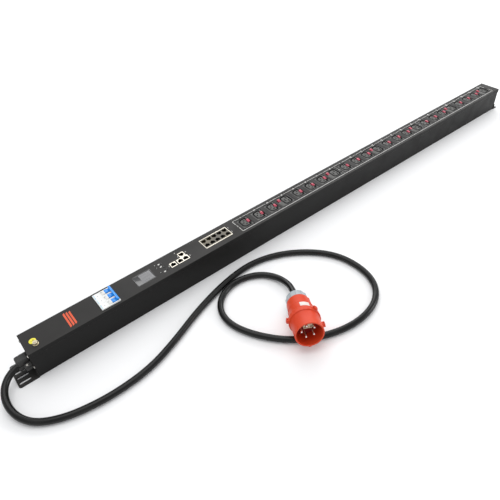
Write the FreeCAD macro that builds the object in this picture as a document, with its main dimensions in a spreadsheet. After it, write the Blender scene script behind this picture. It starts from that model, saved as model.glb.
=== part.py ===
"""Rack power strip: a 1.68 m outlet strip for a rack's vertical channel, lying on its back with its cord.

Frame: +X runs along the strip from the cord end to the closed end, +Y across it, +Z out of the outlet face.
The origin is under the middle of the strip, mounting ears included, on the plane that its back lies on.
"""

import FreeCAD, Part

import math
import os
import re

import Sketcher

# Driving dimensions, in millimetres and degrees. A place along the strip is counted from the case's cord end.
DIMENSIONS = (
    # folded steel case: a U-shaped tray under a shallow cover with turned-down lips
    ("case_length", 1680),
    ("case_width", 67),
    ("case_depth", 75),
    ("cover_steel", 1.2),
    ("tray_steel", 1.5),
    ("lip_depth", 11),
    ("gap", 0.2),
    ("bend_radius", 1.6),
    # end plates and the ears that bolt to the rack
    ("end_steel", 1.5),
    ("ear_steel", 2),
    ("ear_length", 44),
    ("ear_upright", 18),
    ("far_ear_length", 19),
    ("ear_slot_width", 5),
    ("ear_slot_length", 25),
    ("ear_slot_centre", 28.2),
    ("ear_slot_pitch", 15.2),
    ("far_hole_radius", 2.75),
    ("far_hole_spread", 36),
    ("ear_corner", 5),
    # cord clamp on the end plate
    ("cord_radius", 7.5),
    ("cord_height", 30),
    ("clamp_reach", 27),
    ("clamp_foot_reach", 16),
    ("clamp_half_width", 22),
    ("clamp_dome_half_width", 10.5),
    ("clamp_dome_top", 47),
    ("clamp_flange", 4),
    ("clamp_bottom", 19),
    ("clamp_foot_bottom", 22),
    ("clamp_screw_spread", 33),
    # earth terminal
    ("stud_place", 24),
    ("stud_offset", -15),
    ("stud_radius", 3),
    ("stud_length", 26),
    ("stud_above", 8),
    ("nut_radius", 5.7),
    ("nut_height", 5),
    ("washer_radius", 6.2),
    ("washer_height", 1),
    # three-pole breaker
    ("breaker_place", 190.4),
    ("pole_pitch", 17.7),
    ("pole_width", 17.5),
    ("breaker_half_length", 41),
    ("breaker_shoulder", 54),
    ("breaker_foot", 9.4),
    ("nose_half_length", 22.2),
    ("nose_top", 77.5),
    ("toggle_place", 198),
    ("toggle_height", 65),
    ("drum_radius", 15),
    ("drum_width", 11),
    ("drum_clearance", 0.6),
    ("lever_reach", 21.5),
    ("tie_bar_root", 17),
    ("lever_low_angle", 50),
    ("lever_high_angle", 62),
    ("toggle_slot_half", 11.2),
    # display, lights, buttons and network jacks
    ("display_place", 285),
    ("display_length", 46),
    ("display_width", 33.6),
    ("light_place", 323.5),
    ("light_radius", 1.2),
    ("button_place", 338.3),
    ("button_side", 4.6),
    ("button_proud", 0.9),
    ("button_height", 9),
    ("jack_side", 15.8),
    ("jack_height", 20),
    ("jack_mouth_length", 11.7),
    ("jack_mouth_width", 8),
    ("jack_mouth_depth", 13),
    ("near_jack_place", 359),
    ("twin_jack_place", 386),
    ("far_jack_place", 391.4),
    ("jack_row_offset", 8.2),
    ("block_place", 489),
    ("block_length", 80),
    ("block_width", 36),
    ("block_offset", 1.5),
    ("block_pitch", 15.6),
    ("block_row", 8.9),
    ("board_place", 392),
    ("board_length", 284),
    ("board_width", 58),
    ("board_height", 52),
    ("board_thickness", 1.6),
    # outlets: three banks of eight, a large outlet after every three small ones
    ("first_large_place", 719.5),
    ("four_pitch", 183.3),
    ("small_step_one", 42),
    ("small_step_two", 87.5),
    ("small_step_three", 133),
    ("outlet_recess", 0.8),
    ("outlet_width", 37),
    ("outlet_offset", -1),
    ("outlet_body_depth", 32),
    ("outlet_before", 16.5),
    ("outlet_after", 17.5),
    ("large_before", 27.5),
    ("socket_depth", 17),
    ("socket_gap", 2.4),
    ("small_core_half_length", 8.2),
    ("small_core_half_width", 12),
    ("small_core_chamfer", 4.6),
    ("large_core_half_length", 9.4),
    ("large_core_half_width", 12.8),
    ("large_core_chamfer", 3),
    ("small_tab_place", 11),
    ("large_tab_place", -19),
    ("large_tab_offset", 8),
    ("tab_length", 7),
    ("tab_half_width", 6),
    ("tab_sink", 3),
    ("tab_travel", 2.2),
    # copper bars and their supports
    ("bars_start", 545),
    ("bars_end", 1665),
    ("bar_thickness", 3),
    ("bar_depth", 12),
    ("bar_bottom", 16),
    ("bar_pitch", 10),
    # plug: pin-and-sleeve type, three phases, neutral and earth
    ("plug_turn", 60.5),
    ("plug_tilt", 12),
    ("plug_mouth_along", 468.5),
    ("plug_mouth_across", -353.9),
    ("plug_mouth_height", 54.2),
    ("shroud_radius", 31.5),
    ("shroud_wall", 3),
    ("shroud_depth", 46),
    ("collar_radius", 35),
    ("collar_start", 41),
    ("collar_end", 53),
    ("lug_length", 7),
    ("lug_width", 9),
    ("lug_height", 10),
    ("front_lug_start", 14),
    ("housing_radius", 28.5),
    ("housing_back_radius", 26.5),
    ("housing_end", 108),
    ("gland_radius", 25),
    ("gland_start", 108.4),
    ("gland_end", 135),
    ("pin_circle_radius", 15),
    ("pin_radius", 3),
    ("pin_tip_depth", 9),
    ("insert_thickness", 8),
)

# Route of the cord: along the strip from the case's cord end, across, and up.
CORD_ROUTE = (
    (-1, 0, 30),
    (-27.5, -1.5, 29.2),
    (-52, -11, 25.5),
    (-70, -33, 19.5),
    (-76, -64, 14),
    (-70, -98, 10),
    (-52, -128, 8),
    (-22, -150, 7.6),
    (24, -168, 7.6),
    (98, -179, 7.6),
    (185, -174, 7.6),
    (262, -148, 7.6),
    (352, -109, 7.6),
    (450, -80, 7.6),
    (535, -71, 7.6),
    (610, -92, 7.6),
    (673, -136, 7.6),
    (715, -190, 7.6),
    (728, -250, 7.6),
    (720, -308, 7.6),
    (688, -350, 7.6),
    (636, -371, 7.6),
    (573, -371, 7.6),
    (507, -349, 7.6),
    (449, -310, 7.6),
    (407, -256, 7.6),
    (383, -203, 7.6),
    (382, -157, 7.6),
    (405, -119, 7.6),
    (446, -98, 7.6),
    (490, -98, 7.6),
    (528, -115, 7.6),
    (551, -146, 9),
    (556.5, -182, 13),
    (548, -213.4, 19.9),
    (530.6, -244.1, 27.4),
)

doc = FreeCAD.newDocument("rack_power_strip")
sheet = doc.addObject("Spreadsheet::Sheet", "dims")
for row, (alias, size) in enumerate(DIMENSIONS, start=1):
    sheet.set(f"A{row}", alias)
    sheet.set(f"B{row}", str(size))
    sheet.setAlias(f"B{row}", alias)
doc.recompute()
ALIASES = {alias for alias, size in DIMENSIONS}
parts = {}


def tied(words):
    """An expression on the sheet's cells, from one written with their bare aliases."""

    def with_sheet(word):
        return f"dims.{word[0]}" if word[0] in ALIASES else word[0]

    return re.sub(r"[a-z_]+[a-z]", with_sheet, str(words))


def number(words):
    """The value of such an expression, in millimetres or degrees."""
    value = sheet.evalExpression(tied(words))
    return float(getattr(value, "Value", value))


def bind(thing, sizes):
    """Binds properties to expressions, so that they follow the sheet."""
    for name, words in sizes.items():
        thing.setExpression(name, tied(words))
    return thing


def along(place):
    """The X of a place counted from the case's cord end."""
    return f"({place}) - case_length / 2 + (ear_length - far_ear_length) / 2"


def part(name, thing):
    """Names a finished piece, which is written out under that name."""
    thing.Label = name
    parts[name] = thing
    return thing


def block(name, length, width, height, x, y, z):
    """A block from its three sizes, centred on x and y and standing on z."""
    piece = doc.addObject("Part::Box", name)
    bind(piece, {"Length": length, "Width": width, "Height": height})
    low_corner = {".Placement.Base.x": f"{x} - ({length}) / 2", ".Placement.Base.y": f"{y} - ({width}) / 2"}
    bind(piece, low_corner)
    return bind(piece, {".Placement.Base.z": z})


def rod(name, radius, length, x, y, z, turn=None):
    """A round rod that starts at x, y, z and runs up, or along another axis after a turn."""
    piece = doc.addObject("Part::Cylinder", name)
    if turn:
        piece.Placement.Rotation = turn
    sizes = {"Radius": radius, "Height": length}
    places = {".Placement.Base.x": x, ".Placement.Base.y": y, ".Placement.Base.z": z}
    return bind(piece, sizes | places)


def joined(name, pieces):
    """One solid, or one group of solids, made of several."""
    whole = doc.addObject("Part::MultiFuse", name)
    whole.Shapes = pieces
    return whole


def grouped(name, pieces):
    """Separate solids that share one node."""
    whole = doc.addObject("Part::Compound", name)
    whole.Links = pieces
    return whole


def cut(name, base, tools):
    """A piece with every tool taken out of it."""
    trimmed = doc.addObject("Part::Cut", name)
    trimmed.Base = base
    trimmed.Tool = tools[0] if len(tools) == 1 else grouped(name + "_tools", tools)
    doc.recompute()
    if not trimmed.Shape.Volume < base.Shape.Volume - 0.01:
        raise RuntimeError(f"{name}: nothing was cut")
    return trimmed


def new_body(name, x="0", y="0", z="0"):
    """An empty body whose own origin stands at x, y, z."""
    body = doc.addObject("PartDesign::Body", name)
    return bind(body, {".Placement.Base.x": x, ".Placement.Base.y": y, ".Placement.Base.z": z})


def sketch_on(body, plane, name):
    """A sketch on one of the body's own origin planes."""
    sketch = body.newObject("Sketcher::SketchObject", name)
    origin_plane = next(item for item in body.Origin.OriginFeatures if item.Role == plane)
    sketch.AttachmentSupport = [(origin_plane, "")]
    sketch.MapMode = "FlatFace"
    return sketch


def outline(sketch, corners):
    """A closed run of straight edges through corners, each a pair of expressions."""
    first = sketch.GeometryCount
    places = [FreeCAD.Vector(number(x), number(y), 0) for x, y in corners]
    for start, end in zip(places, places[1:] + places[:1]):
        sketch.addGeometry(Part.LineSegment(start, end))
    for index, corner in enumerate(corners):
        following = first + (index + 1) % len(corners)
        sketch.addConstraint(Sketcher.Constraint("Coincident", first + index, 2, following, 1))
        for kind, words in zip(("DistanceX", "DistanceY"), corner):
            held = sketch.addConstraint(Sketcher.Constraint(kind, -1, 1, first + index, 1, number(words)))
            sketch.setExpression(f"Constraints[{held}]", tied(words))
    return sketch


def pad(body, sketch, length, reversed_way=False, both_ways=False):
    """Thickens a sketch into a solid."""
    solid = body.newObject("PartDesign::Pad", sketch.Name + "_pad")
    solid.Profile = sketch
    bind(solid, {"Length": length})
    solid.Reversed = reversed_way
    if both_ways:
        solid.SideType = "Symmetric"
    doc.recompute()
    return solid


def pocket(body, sketch, depth, reversed_way=False):
    """Sinks a sketch into the body, and makes sure that it took material away."""
    before = body.Shape.Volume
    hollow = body.newObject("PartDesign::Pocket", sketch.Name + "_pocket")
    hollow.Profile = sketch
    bind(hollow, {"Length": depth})
    hollow.Reversed = reversed_way
    doc.recompute()
    if not body.Shape.Volume < before - 0.01:
        raise RuntimeError(f"{sketch.Name}: the pocket cut nothing")
    return hollow


def turned(name, corners):
    """A solid of revolution about its own Z axis, from radius and height pairs."""
    body = new_body(name + "_body")
    sketch = outline(sketch_on(body, "XZ_Plane", name + "_profile"), corners)
    spun = body.newObject("PartDesign::Revolution", name + "_spun")
    spun.Profile = sketch
    spun.ReferenceAxis = (sketch, ["V_Axis"])
    spun.Angle = 360
    doc.recompute()
    return body


def rounded(body, name, radius, wanted):
    """Fillets the edges of a body that a test picks out."""
    edges = [f"Edge{n}" for n, edge in enumerate(body.Shape.Edges, start=1) if wanted(edge)]
    sharp = body.Tip
    smooth = body.newObject("PartDesign::Fillet", name)
    smooth.Base = (sharp, edges)
    bind(smooth, {"Radius": radius})
    doc.recompute()
    return smooth


def runs_along_x(edge):
    """Whether an edge runs the length of the strip."""
    box = edge.BoundBox
    return box.XLength > 1 and box.YLength < 0.01 and box.ZLength < 0.01


def stands_up(edge):
    """Whether an edge is vertical."""
    box = edge.BoundBox
    return box.ZLength > 0.5 and box.XLength < 0.01 and box.YLength < 0.01


# --- tray: the U-shaped back of the case  --------------------------------------------------------
TRAY_HALF = "(case_width / 2 - cover_steel - gap)"
TRAY_TOP = "(case_depth - cover_steel - gap)"
tray = new_body("tray_body", along("0"))
tray_profile = outline(
    sketch_on(tray, "YZ_Plane", "tray_profile"),
    [
        (f"-{TRAY_HALF}", TRAY_TOP),
        (f"-{TRAY_HALF}", "0"),
        (TRAY_HALF, "0"),
        (TRAY_HALF, TRAY_TOP),
        (f"{TRAY_HALF} - tray_steel", TRAY_TOP),
        (f"{TRAY_HALF} - tray_steel", "tray_steel"),
        (f"tray_steel - {TRAY_HALF}", "tray_steel"),
        (f"tray_steel - {TRAY_HALF}", TRAY_TOP),
    ],
)
pad(tray, tray_profile, "case_length")
rounded(tray, "tray_bends", "bend_radius", lambda edge: runs_along_x(edge) and edge.BoundBox.ZMax < 0.01)
part("base_tray", tray)

# --- outlets: places along the strip  ------------------------------------------------------------
SMALL_STEPS = ("small_step_one", "small_step_two", "small_step_three")
LARGE_PLACES = [f"first_large_place + {four} * four_pitch" for four in range(6)]
SMALL_PLACES = [f"{large} - four_pitch + {step}" for large in LARGE_PLACES for step in SMALL_STEPS]

# --- cover: the front of the case, with a window for everything that shows  ----------------------
cover_blank = new_body("cover_blank", along("0"))
cover_profile = outline(
    sketch_on(cover_blank, "YZ_Plane", "cover_profile"),
    [
        ("-case_width / 2", "case_depth - lip_depth"),
        ("-case_width / 2", "case_depth"),
        ("case_width / 2", "case_depth"),
        ("case_width / 2", "case_depth - lip_depth"),
        ("case_width / 2 - cover_steel", "case_depth - lip_depth"),
        ("case_width / 2 - cover_steel", "case_depth - cover_steel"),
        ("cover_steel - case_width / 2", "case_depth - cover_steel"),
        ("cover_steel - case_width / 2", "case_depth - lip_depth"),
    ],
)
pad(cover_blank, cover_profile, "case_length")
FACE_EDGE = number("case_depth") - 0.01


def is_cover_bend(edge):
    """Whether an edge is one of the cover's two outer bends."""
    return runs_along_x(edge) and edge.BoundBox.ZMin > FACE_EDGE


rounded(cover_blank, "cover_bends", "bend_radius / 2", is_cover_bend)

# A light, its marks and a button stand in each of three rows across the face.
LIGHT_ROWS = (18.6, 8.4, -10.9)
BUTTON_ROWS = (13, 0.7, -11.4)
SINGLE_JACKS = (("near_jack_place", "-jack_row_offset"), ("far_jack_place", "jack_row_offset"))


THROUGH = "cover_steel + 4"
BELOW_COVER = "case_depth - cover_steel - 2"


def window(name, length, width, place, offset):
    """A sharp-cornered opening through the cover, wider than what stands in it by a gap each side."""
    sides = (f"{length} + 2 * gap", f"{width} + 2 * gap")
    return block(name, *sides, THROUGH, along(place), offset, BELOW_COVER)


def hole(name, radius, place, offset):
    """A round opening through the cover."""
    return rod(name, f"{radius} + gap", THROUGH, along(place), offset, BELOW_COVER)


windows = [
    hole("stud_hole", "stud_radius", "stud_place", "stud_offset"),
    window("breaker_window", "2 * nose_half_length", "3 * pole_pitch", "breaker_place", "0"),
    window("display_opening", "display_length", "display_width", "display_place", "0"),
    window("twin_jack_window", "2 * jack_side", "jack_side", "twin_jack_place", "-jack_row_offset"),
    window("block_window", "block_length", "block_width", "block_place", "block_offset"),
]
for index, (place, offset) in enumerate(SINGLE_JACKS):
    windows.append(window(f"jack_window_{index}", "jack_side", "jack_side", place, offset))
for index, offset in enumerate(LIGHT_ROWS):
    windows.append(hole(f"light_hole_{index}", "light_radius", "light_place", offset))
for index, offset in enumerate(BUTTON_ROWS):
    side = "button_side + gap"
    windows.append(window(f"button_window_{index}", side, side, "button_place", offset))
for index, place in enumerate(SMALL_PLACES):
    middle = f"{place} + (outlet_after - outlet_before) / 2"
    length = "outlet_before + outlet_after"
    windows.append(window(f"small_window_{index}", length, "outlet_width", middle, "outlet_offset"))
for index, place in enumerate(LARGE_PLACES):
    middle = f"{place} + (outlet_after - large_before) / 2"
    length = "large_before + outlet_after"
    windows.append(window(f"large_window_{index}", length, "outlet_width", middle, "outlet_offset"))
part("front_cover", cut("cover", cover_blank, windows))

# --- end plates: folded lids inside the tray's ends  ---------------------------------------------
END_HALF = "(case_width / 2 - cover_steel - tray_steel - 2 * gap)"
END_WIDTH = f"2 * {END_HALF}"
END_TALL = "case_depth - cover_steel - tray_steel - 2 * gap"
TO_WEST = FreeCAD.Rotation(FreeCAD.Vector(0, 1, 0), -90)
TO_EAST = FreeCAD.Rotation(FreeCAD.Vector(0, 1, 0), 90)
TO_SOUTH = FreeCAD.Rotation(FreeCAD.Vector(1, 0, 0), 90)

cord_end_blank = block(
    "cord_end_blank", "end_steel", END_WIDTH, END_TALL, along("end_steel / 2"), "0", "tray_steel + gap"
)
cord_hole = rod("cord_hole", "cord_radius + 3", "8", along("4"), "0", "cord_height", TO_WEST)
part("cord_end_plate", cut("cord_end", cord_end_blank, [cord_hole]))
far_end = block(
    "far_end", "end_steel", END_WIDTH, END_TALL, along("case_length - end_steel / 2"), "0", "tray_steel + gap"
)
part("far_end_plate", far_end)

# --- ears: angle brackets that carry the strip in the rack  --------------------------------------
near_ear = new_body("near_ear_body", along("0"))
near_ear_profile = outline(
    sketch_on(near_ear, "XZ_Plane", "near_ear_profile"),
    [
        ("-ear_length", "0"),
        ("-gap", "0"),
        ("-gap", "ear_upright"),
        ("-gap - ear_steel", "ear_upright"),
        ("-gap - ear_steel", "ear_steel"),
        ("-ear_length", "ear_steel"),
    ],
)
pad(near_ear, near_ear_profile, "case_width", both_ways=True)
EAR_TIP = number(along("-ear_length")) + 0.01


def is_ear_corner(edge):
    """Whether an edge is a corner of the near ear's tip."""
    return stands_up(edge) and edge.BoundBox.XMax < EAR_TIP


rounded(near_ear, "near_ear_corners", "ear_corner", is_ear_corner)
slots = []
for index in range(4):
    offset = f"({index} - 1.5) * ear_slot_pitch"
    straight = "ear_slot_length - ear_slot_width"
    middle = along("-ear_slot_centre")
    slot = block(f"slot_{index}", straight, "ear_slot_width", "ear_steel + 4", middle, offset, "-1")
    slots.append(slot)
    for side in (-1, 1):
        end = f"{middle} + {side} * ({straight}) / 2"
        slots.append(rod(f"slot_end_{index}", "ear_slot_width / 2", "ear_steel + 4", end, offset, "-1"))
part("mounting_ear", cut("near_ear", near_ear, slots))

far_ear = new_body("far_ear_body", along("case_length"))
far_ear_profile = outline(
    sketch_on(far_ear, "XZ_Plane", "far_ear_profile"),
    [
        ("far_ear_length", "0"),
        ("gap", "0"),
        ("gap", "ear_upright"),
        ("gap + ear_steel", "ear_upright"),
        ("gap + ear_steel", "ear_steel"),
        ("far_ear_length", "ear_steel"),
    ],
)
pad(far_ear, far_ear_profile, "case_width", both_ways=True)
FAR_HOLE_PLACE = "case_length + (far_ear_length + ear_steel) / 2"
far_holes = []
for side in (-1, 1):
    offset = f"{side} * far_hole_spread / 2"
    far_holes.append(rod("far_hole", "far_hole_radius", "ear_steel + 4", along(FAR_HOLE_PLACE), offset, "-1"))
part("far_ear", cut("far_ear_cut", far_ear, far_holes))

# --- screws of the end plates: pan heads on the two end faces  -----------------------------------
end_screws = []
for place, turn in (("-gap", TO_WEST), ("case_length + gap", TO_EAST)):
    for side in (-1, 1):
        for height in ("ear_upright + 8", "case_depth - 12"):
            offset = f"{side} * 25"
            end_screws.append(rod("screw_head", "2.8", "1.8", along(place), offset, height, turn))
part("end_screws", grouped("end_screw_group", end_screws))

# --- cord clamp: a lower half and a domed upper half that grip the cord  -------------------------
CLAMP_BACK = "gap"
CORD_SEAT = rod("cord_seat", "cord_radius", "clamp_reach + 4", along("2"), "0", "cord_height", TO_WEST)


def clamp_block(name, reach, half_width, bottom, top):
    """A block that stands out of the end plate."""
    middle = along(f"-({reach} + {CLAMP_BACK}) / 2")
    sizes = (f"{reach} - {CLAMP_BACK}", f"2 * {half_width}", f"{top} - ({bottom})")
    return block(name, *sizes, middle, "0", bottom)


WING_PLAN = ("clamp_foot_reach", "clamp_half_width")
DOME_PLAN = ("clamp_reach", "clamp_dome_half_width")
clamp_foot = clamp_block("clamp_foot", *WING_PLAN, "clamp_foot_bottom", "cord_height")
clamp_nose = clamp_block("clamp_nose", *DOME_PLAN, "clamp_bottom", "cord_height")
part("clamp_base", cut("clamp_lower", joined("clamp_lower_blank", [clamp_foot, clamp_nose]), [CORD_SEAT]))

CLAMP_SPLIT = "(cord_height + gap)"
CLAMP_WING_TOP = "(cord_height + clamp_flange)"
clamp_wing = clamp_block("clamp_wing", *WING_PLAN, CLAMP_SPLIT, CLAMP_WING_TOP)
clamp_dome = clamp_block("clamp_dome", *DOME_PLAN, CLAMP_SPLIT, "clamp_dome_top")
cap_blank = joined("clamp_cap_blank", [clamp_wing, clamp_dome])
cap_hollow = cut("clamp_cap_hollow", cap_blank, [CORD_SEAT])
dome_edges = []
for index, edge in enumerate(cap_hollow.Shape.Edges, start=1):
    box = edge.BoundBox
    if box.ZMin > number("clamp_dome_top") - 0.01 and box.XMin < number(along("-clamp_foot_reach")):
        dome_edges.append((index, 4, 4))
clamp_cap = doc.addObject("Part::Fillet", "clamp_cap_rounded")
clamp_cap.Base = cap_hollow
clamp_cap.Edges = dome_edges
part("clamp_cap", clamp_cap)

clamp_screws = []
for side in (-1, 1):
    offset = f"{side} * clamp_screw_spread / 2"
    clamp_screws.append(rod("clamp_screw", "3.2", "2.4", along("-9.5"), offset, CLAMP_WING_TOP))
part("clamp_screws", grouped("clamp_screw_group", clamp_screws))

# --- earth terminal: a stud through the cover, with its nut and washer  --------------------------
stud = rod(
    "stud",
    "stud_radius",
    "stud_length",
    along("stud_place"),
    "stud_offset",
    "case_depth + stud_above - stud_length",
)
part("earth_stud", stud)
washer_blank = rod(
    "washer_blank", "washer_radius", "washer_height", along("stud_place"), "stud_offset", "case_depth"
)
nut_blank = doc.addObject("Part::Prism", "nut_blank")
nut_blank.Polygon = 6
bind(nut_blank, {"Circumradius": "nut_radius", "Height": "nut_height"})
bind(nut_blank, {".Placement.Base.x": along("stud_place"), ".Placement.Base.y": "stud_offset"})
bind(nut_blank, {".Placement.Base.z": "case_depth + washer_height"})
washer = cut("washer", washer_blank, [stud])
nut = cut("nut", nut_blank, [stud])
part("earth_nut", grouped("earth_nut_group", [washer, nut]))

# --- breaker: three poles side by side on a rail, one toggle bar across them  --------------------
pole = new_body("pole_body", along("breaker_place"))
pole_profile = outline(
    sketch_on(pole, "XZ_Plane", "pole_profile"),
    [
        ("-breaker_half_length", "breaker_foot"),
        ("breaker_half_length", "breaker_foot"),
        ("breaker_half_length", "breaker_shoulder"),
        ("nose_half_length", "breaker_shoulder"),
        ("nose_half_length", "nose_top"),
        ("-nose_half_length", "nose_top"),
        ("-nose_half_length", "breaker_shoulder"),
        ("-breaker_half_length", "breaker_shoulder"),
    ],
)
pad(pole, pole_profile, "pole_width", both_ways=True)
NOSE_EDGE = number("nose_top") - 0.01
rounded(pole, "nose_edges", "0.5", lambda edge: edge.BoundBox.ZMin > NOSE_EDGE)

DRUM_AXIS = (along("toggle_place"), "0", "toggle_height")
DRUM_ROOM = "(drum_width + 2 * drum_clearance)"
drum_hollow = rod(
    "drum_hollow",
    "drum_radius + drum_clearance",
    DRUM_ROOM,
    along("toggle_place"),
    f"{DRUM_ROOM} / 2",
    "toggle_height",
    TO_SOUTH,
)
toggle_slot = block("toggle_slot", "2 * toggle_slot_half", DRUM_ROOM, "20", *DRUM_AXIS)
hollow_pole = cut("hollow_pole", pole, [drum_hollow, toggle_slot])
poles = []
for side in (-1, 0, 1):
    copy = doc.addObject("Part::Feature", f"pole_{side + 2}")
    copy.Shape = hollow_pole.Shape.copy()
    poles.append(bind(copy, {".Placement.Base.y": f"{side} * pole_pitch"}))
part("breaker_poles", grouped("pole_group", poles))

# The toggle's origin is its own axis: a drum in each pole, a lever out of each drum and a bar that ties them.
toggle_body = new_body("toggle_levers", *DRUM_AXIS)


def lever_corner(radius, angle):
    """A corner of the lever's outline, from the toggle's axis."""
    return (f"{radius} * cos({angle} * 1deg)", f"{radius} * sin({angle} * 1deg)")


lever_profile = outline(
    sketch_on(toggle_body, "XZ_Plane", "lever_profile"),
    [
        lever_corner("(drum_radius - 2)", "lever_low_angle"),
        lever_corner("lever_reach", "lever_low_angle"),
        lever_corner("lever_reach", "lever_high_angle"),
        lever_corner("(drum_radius - 2)", "lever_high_angle"),
    ],
)
pad(toggle_body, lever_profile, "drum_width", both_ways=True)
tie_body = new_body("toggle_tie", *DRUM_AXIS)
tie_profile = outline(
    sketch_on(tie_body, "XZ_Plane", "tie_profile"),
    [
        lever_corner("tie_bar_root", "lever_low_angle"),
        lever_corner("lever_reach", "lever_low_angle"),
        lever_corner("lever_reach", "lever_high_angle"),
        lever_corner("tie_bar_root", "lever_high_angle"),
    ],
)
pad(tie_body, tie_profile, "2 * pole_pitch + drum_width + 3", both_ways=True)
toggle_pieces = [tie_body]
for side in (-1, 0, 1):
    lever = doc.addObject("Part::Feature", f"lever_{side + 2}")
    lever.Shape = toggle_body.Shape.copy()
    lever.Placement = toggle_body.Placement
    bind(lever, {".Placement.Base.y": f"{side} * pole_pitch"})
    drum_start = f"{side} * pole_pitch + drum_width / 2"
    drum = rod(
        "drum", "drum_radius", "drum_width", along("toggle_place"), drum_start, "toggle_height", TO_SOUTH
    )
    toggle_pieces += [lever, drum]
toggle = joined("toggle_joined", toggle_pieces)
part("breaker_toggle", toggle)

# A top-hat rail across the tray carries the breaker's feet.
rail_web = block("rail_web", "27", "56", "1", along("breaker_place"), "0", "tray_steel + gap")
rail_sides = []
for side in (-1, 1):
    upright = along(f"breaker_place + {side} * 13")
    flange = along(f"breaker_place + {side} * 15.25")
    rail_sides.append(block("rail_side", "1", "56", "7.5", upright, "0", "tray_steel + gap"))
    rail_sides.append(block("rail_flange", "4.5", "56", "1", flange, "0", "tray_steel + gap + 6.5"))
part("breaker_rail", joined("rail", [rail_web] + rail_sides))

# --- display and controls  -----------------------------------------------------------------------
DISPLAY_MIDDLE = (along("display_place"), "0")
PANE_SIZE = ("display_length", "display_width", "1.6")
display_window = block("display_pane", *PANE_SIZE, *DISPLAY_MIDDLE, "case_depth - 1.4")
part("display_window", display_window)
MODULE_SIZE = ("display_length + 6", "display_width + 8", "6")
display_module = block("display_unit", *MODULE_SIZE, *DISPLAY_MIDDLE, "case_depth - 8")
part("display_module", display_module)

board_plate = block(
    "board_plate", "board_length", "board_width", "board_thickness", along("board_place"), "0", "board_height"
)
board_pieces = [board_plate]
for offset in BUTTON_ROWS:
    switch_foot = "board_height + board_thickness - 0.1"
    board_pieces.append(block("switch", "7", "7", "10", along("button_place"), offset, switch_foot))
part("controller_board", joined("board", board_pieces))

lights = []
for offset in LIGHT_ROWS:
    light_foot = "case_depth - 11"
    lights.append(rod("light_pipe", "light_radius", "11.3", along("light_place"), offset, light_foot))
part("indicator_lights", grouped("light_group", lights))

for name, offset in zip(("button_far", "button_middle", "button_near"), BUTTON_ROWS):
    button = new_body(name + "_body", along("button_place"), offset, "case_depth + button_proud")
    half = "button_side / 2"
    button_corners = [(f"-{half}", f"-{half}"), (half, f"-{half}"), (half, half), (f"-{half}", half)]
    button_profile = outline(sketch_on(button, "XY_Plane", name + "_profile"), button_corners)
    pad(button, button_profile, "button_height", reversed_way=True)
    rounded(button, name + "_corners", "0.9", stands_up)
    part(name, button)

# --- network jacks: shielded housings on the board, each with its stepped mouth  -----------------
JACK_TOP = "(case_depth + 0.3)"


def jack_mouth(name, place, offset, latch_side):
    """The hollow of one jack: the mouth and, on one side, the two steps for the latch."""
    floor = f"{JACK_TOP} - jack_mouth_depth"
    depth = "jack_mouth_depth + 1"
    first_step = f"{offset} + {latch_side} * (jack_mouth_width / 2 + 0.7)"
    second_step = f"{offset} + {latch_side} * (jack_mouth_width / 2 + 2)"
    return [
        block(name, "jack_mouth_length", "jack_mouth_width", depth, along(place), offset, floor),
        block(name + "_step", "6.4", "1.6", depth, along(place), first_step, floor),
        block(name + "_notch", "3.2", "1.6", depth, along(place), second_step, floor),
    ]


def jack_shell(name, length, width, place, offset):
    """The housing of one jack, or of several in one block."""
    return block(name, length, width, "jack_height", along(place), offset, f"{JACK_TOP} - jack_height")


jack_shells = [
    jack_shell("near_jack", "jack_side", "jack_side", "near_jack_place", "-jack_row_offset"),
    jack_shell("far_jack", "jack_side", "jack_side", "far_jack_place", "jack_row_offset"),
    jack_shell("twin_jack", "2 * jack_side", "jack_side", "twin_jack_place", "-jack_row_offset"),
]
mouths = jack_mouth("near_mouth", "near_jack_place", "-jack_row_offset - 1", 1)
mouths += jack_mouth("far_mouth", "far_jack_place", "jack_row_offset + 1", -1)
for side in (-1, 1):
    place = f"twin_jack_place + {side} * (jack_side - 0.8) / 2"
    mouths += jack_mouth(f"twin_mouth_{side}", place, "-jack_row_offset - 1", 1)
part("network_jacks", cut("jacks", grouped("jack_shells", jack_shells), mouths))

block_shell = jack_shell("block_shell", "block_length", "block_width", "block_place", "block_offset")
block_mouths = []
for row in (-1, 1):
    for column in range(-2, 3):
        place = f"block_place + {column} * block_pitch"
        offset = f"block_offset + {row} * block_row"
        block_mouths += jack_mouth(f"block_mouth_{column}_{row}", place, offset, -row)
part("jack_block", cut("jack_block_cut", block_shell, block_mouths))


# --- outlets  ------------------------------------------------------------------------------------
def rectangle(low_x, high_x, low_y, high_y):
    """The four corners of a rectangle, from expressions."""
    return [(low_x, low_y), (high_x, low_y), (high_x, high_y), (low_x, high_y)]


def socket_ring(half_length, half_width, chamfer, both_ends):
    """The outline of a socket: a rectangle whose corners on the earth side, or all, are cut off."""
    corners = [
        (f"-({half_length})", f"{half_width} - {chamfer}"),
        (f"-({half_length})", f"{chamfer} - ({half_width})"),
        (f"{chamfer} - ({half_length})", f"-({half_width})"),
    ]
    if both_ends:
        corners += [
            (f"{half_length} - {chamfer}", f"-({half_width})"),
            (half_length, f"{chamfer} - ({half_width})"),
            (half_length, f"{half_width} - {chamfer}"),
            (f"{half_length} - {chamfer}", half_width),
        ]
    else:
        corners += [(half_length, f"-({half_width})"), (half_length, half_width)]
    return corners + [(f"{chamfer} - ({half_length})", half_width)]


OUTLET_SIDES = ("outlet_offset - outlet_width / 2", "outlet_offset + outlet_width / 2")


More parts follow.
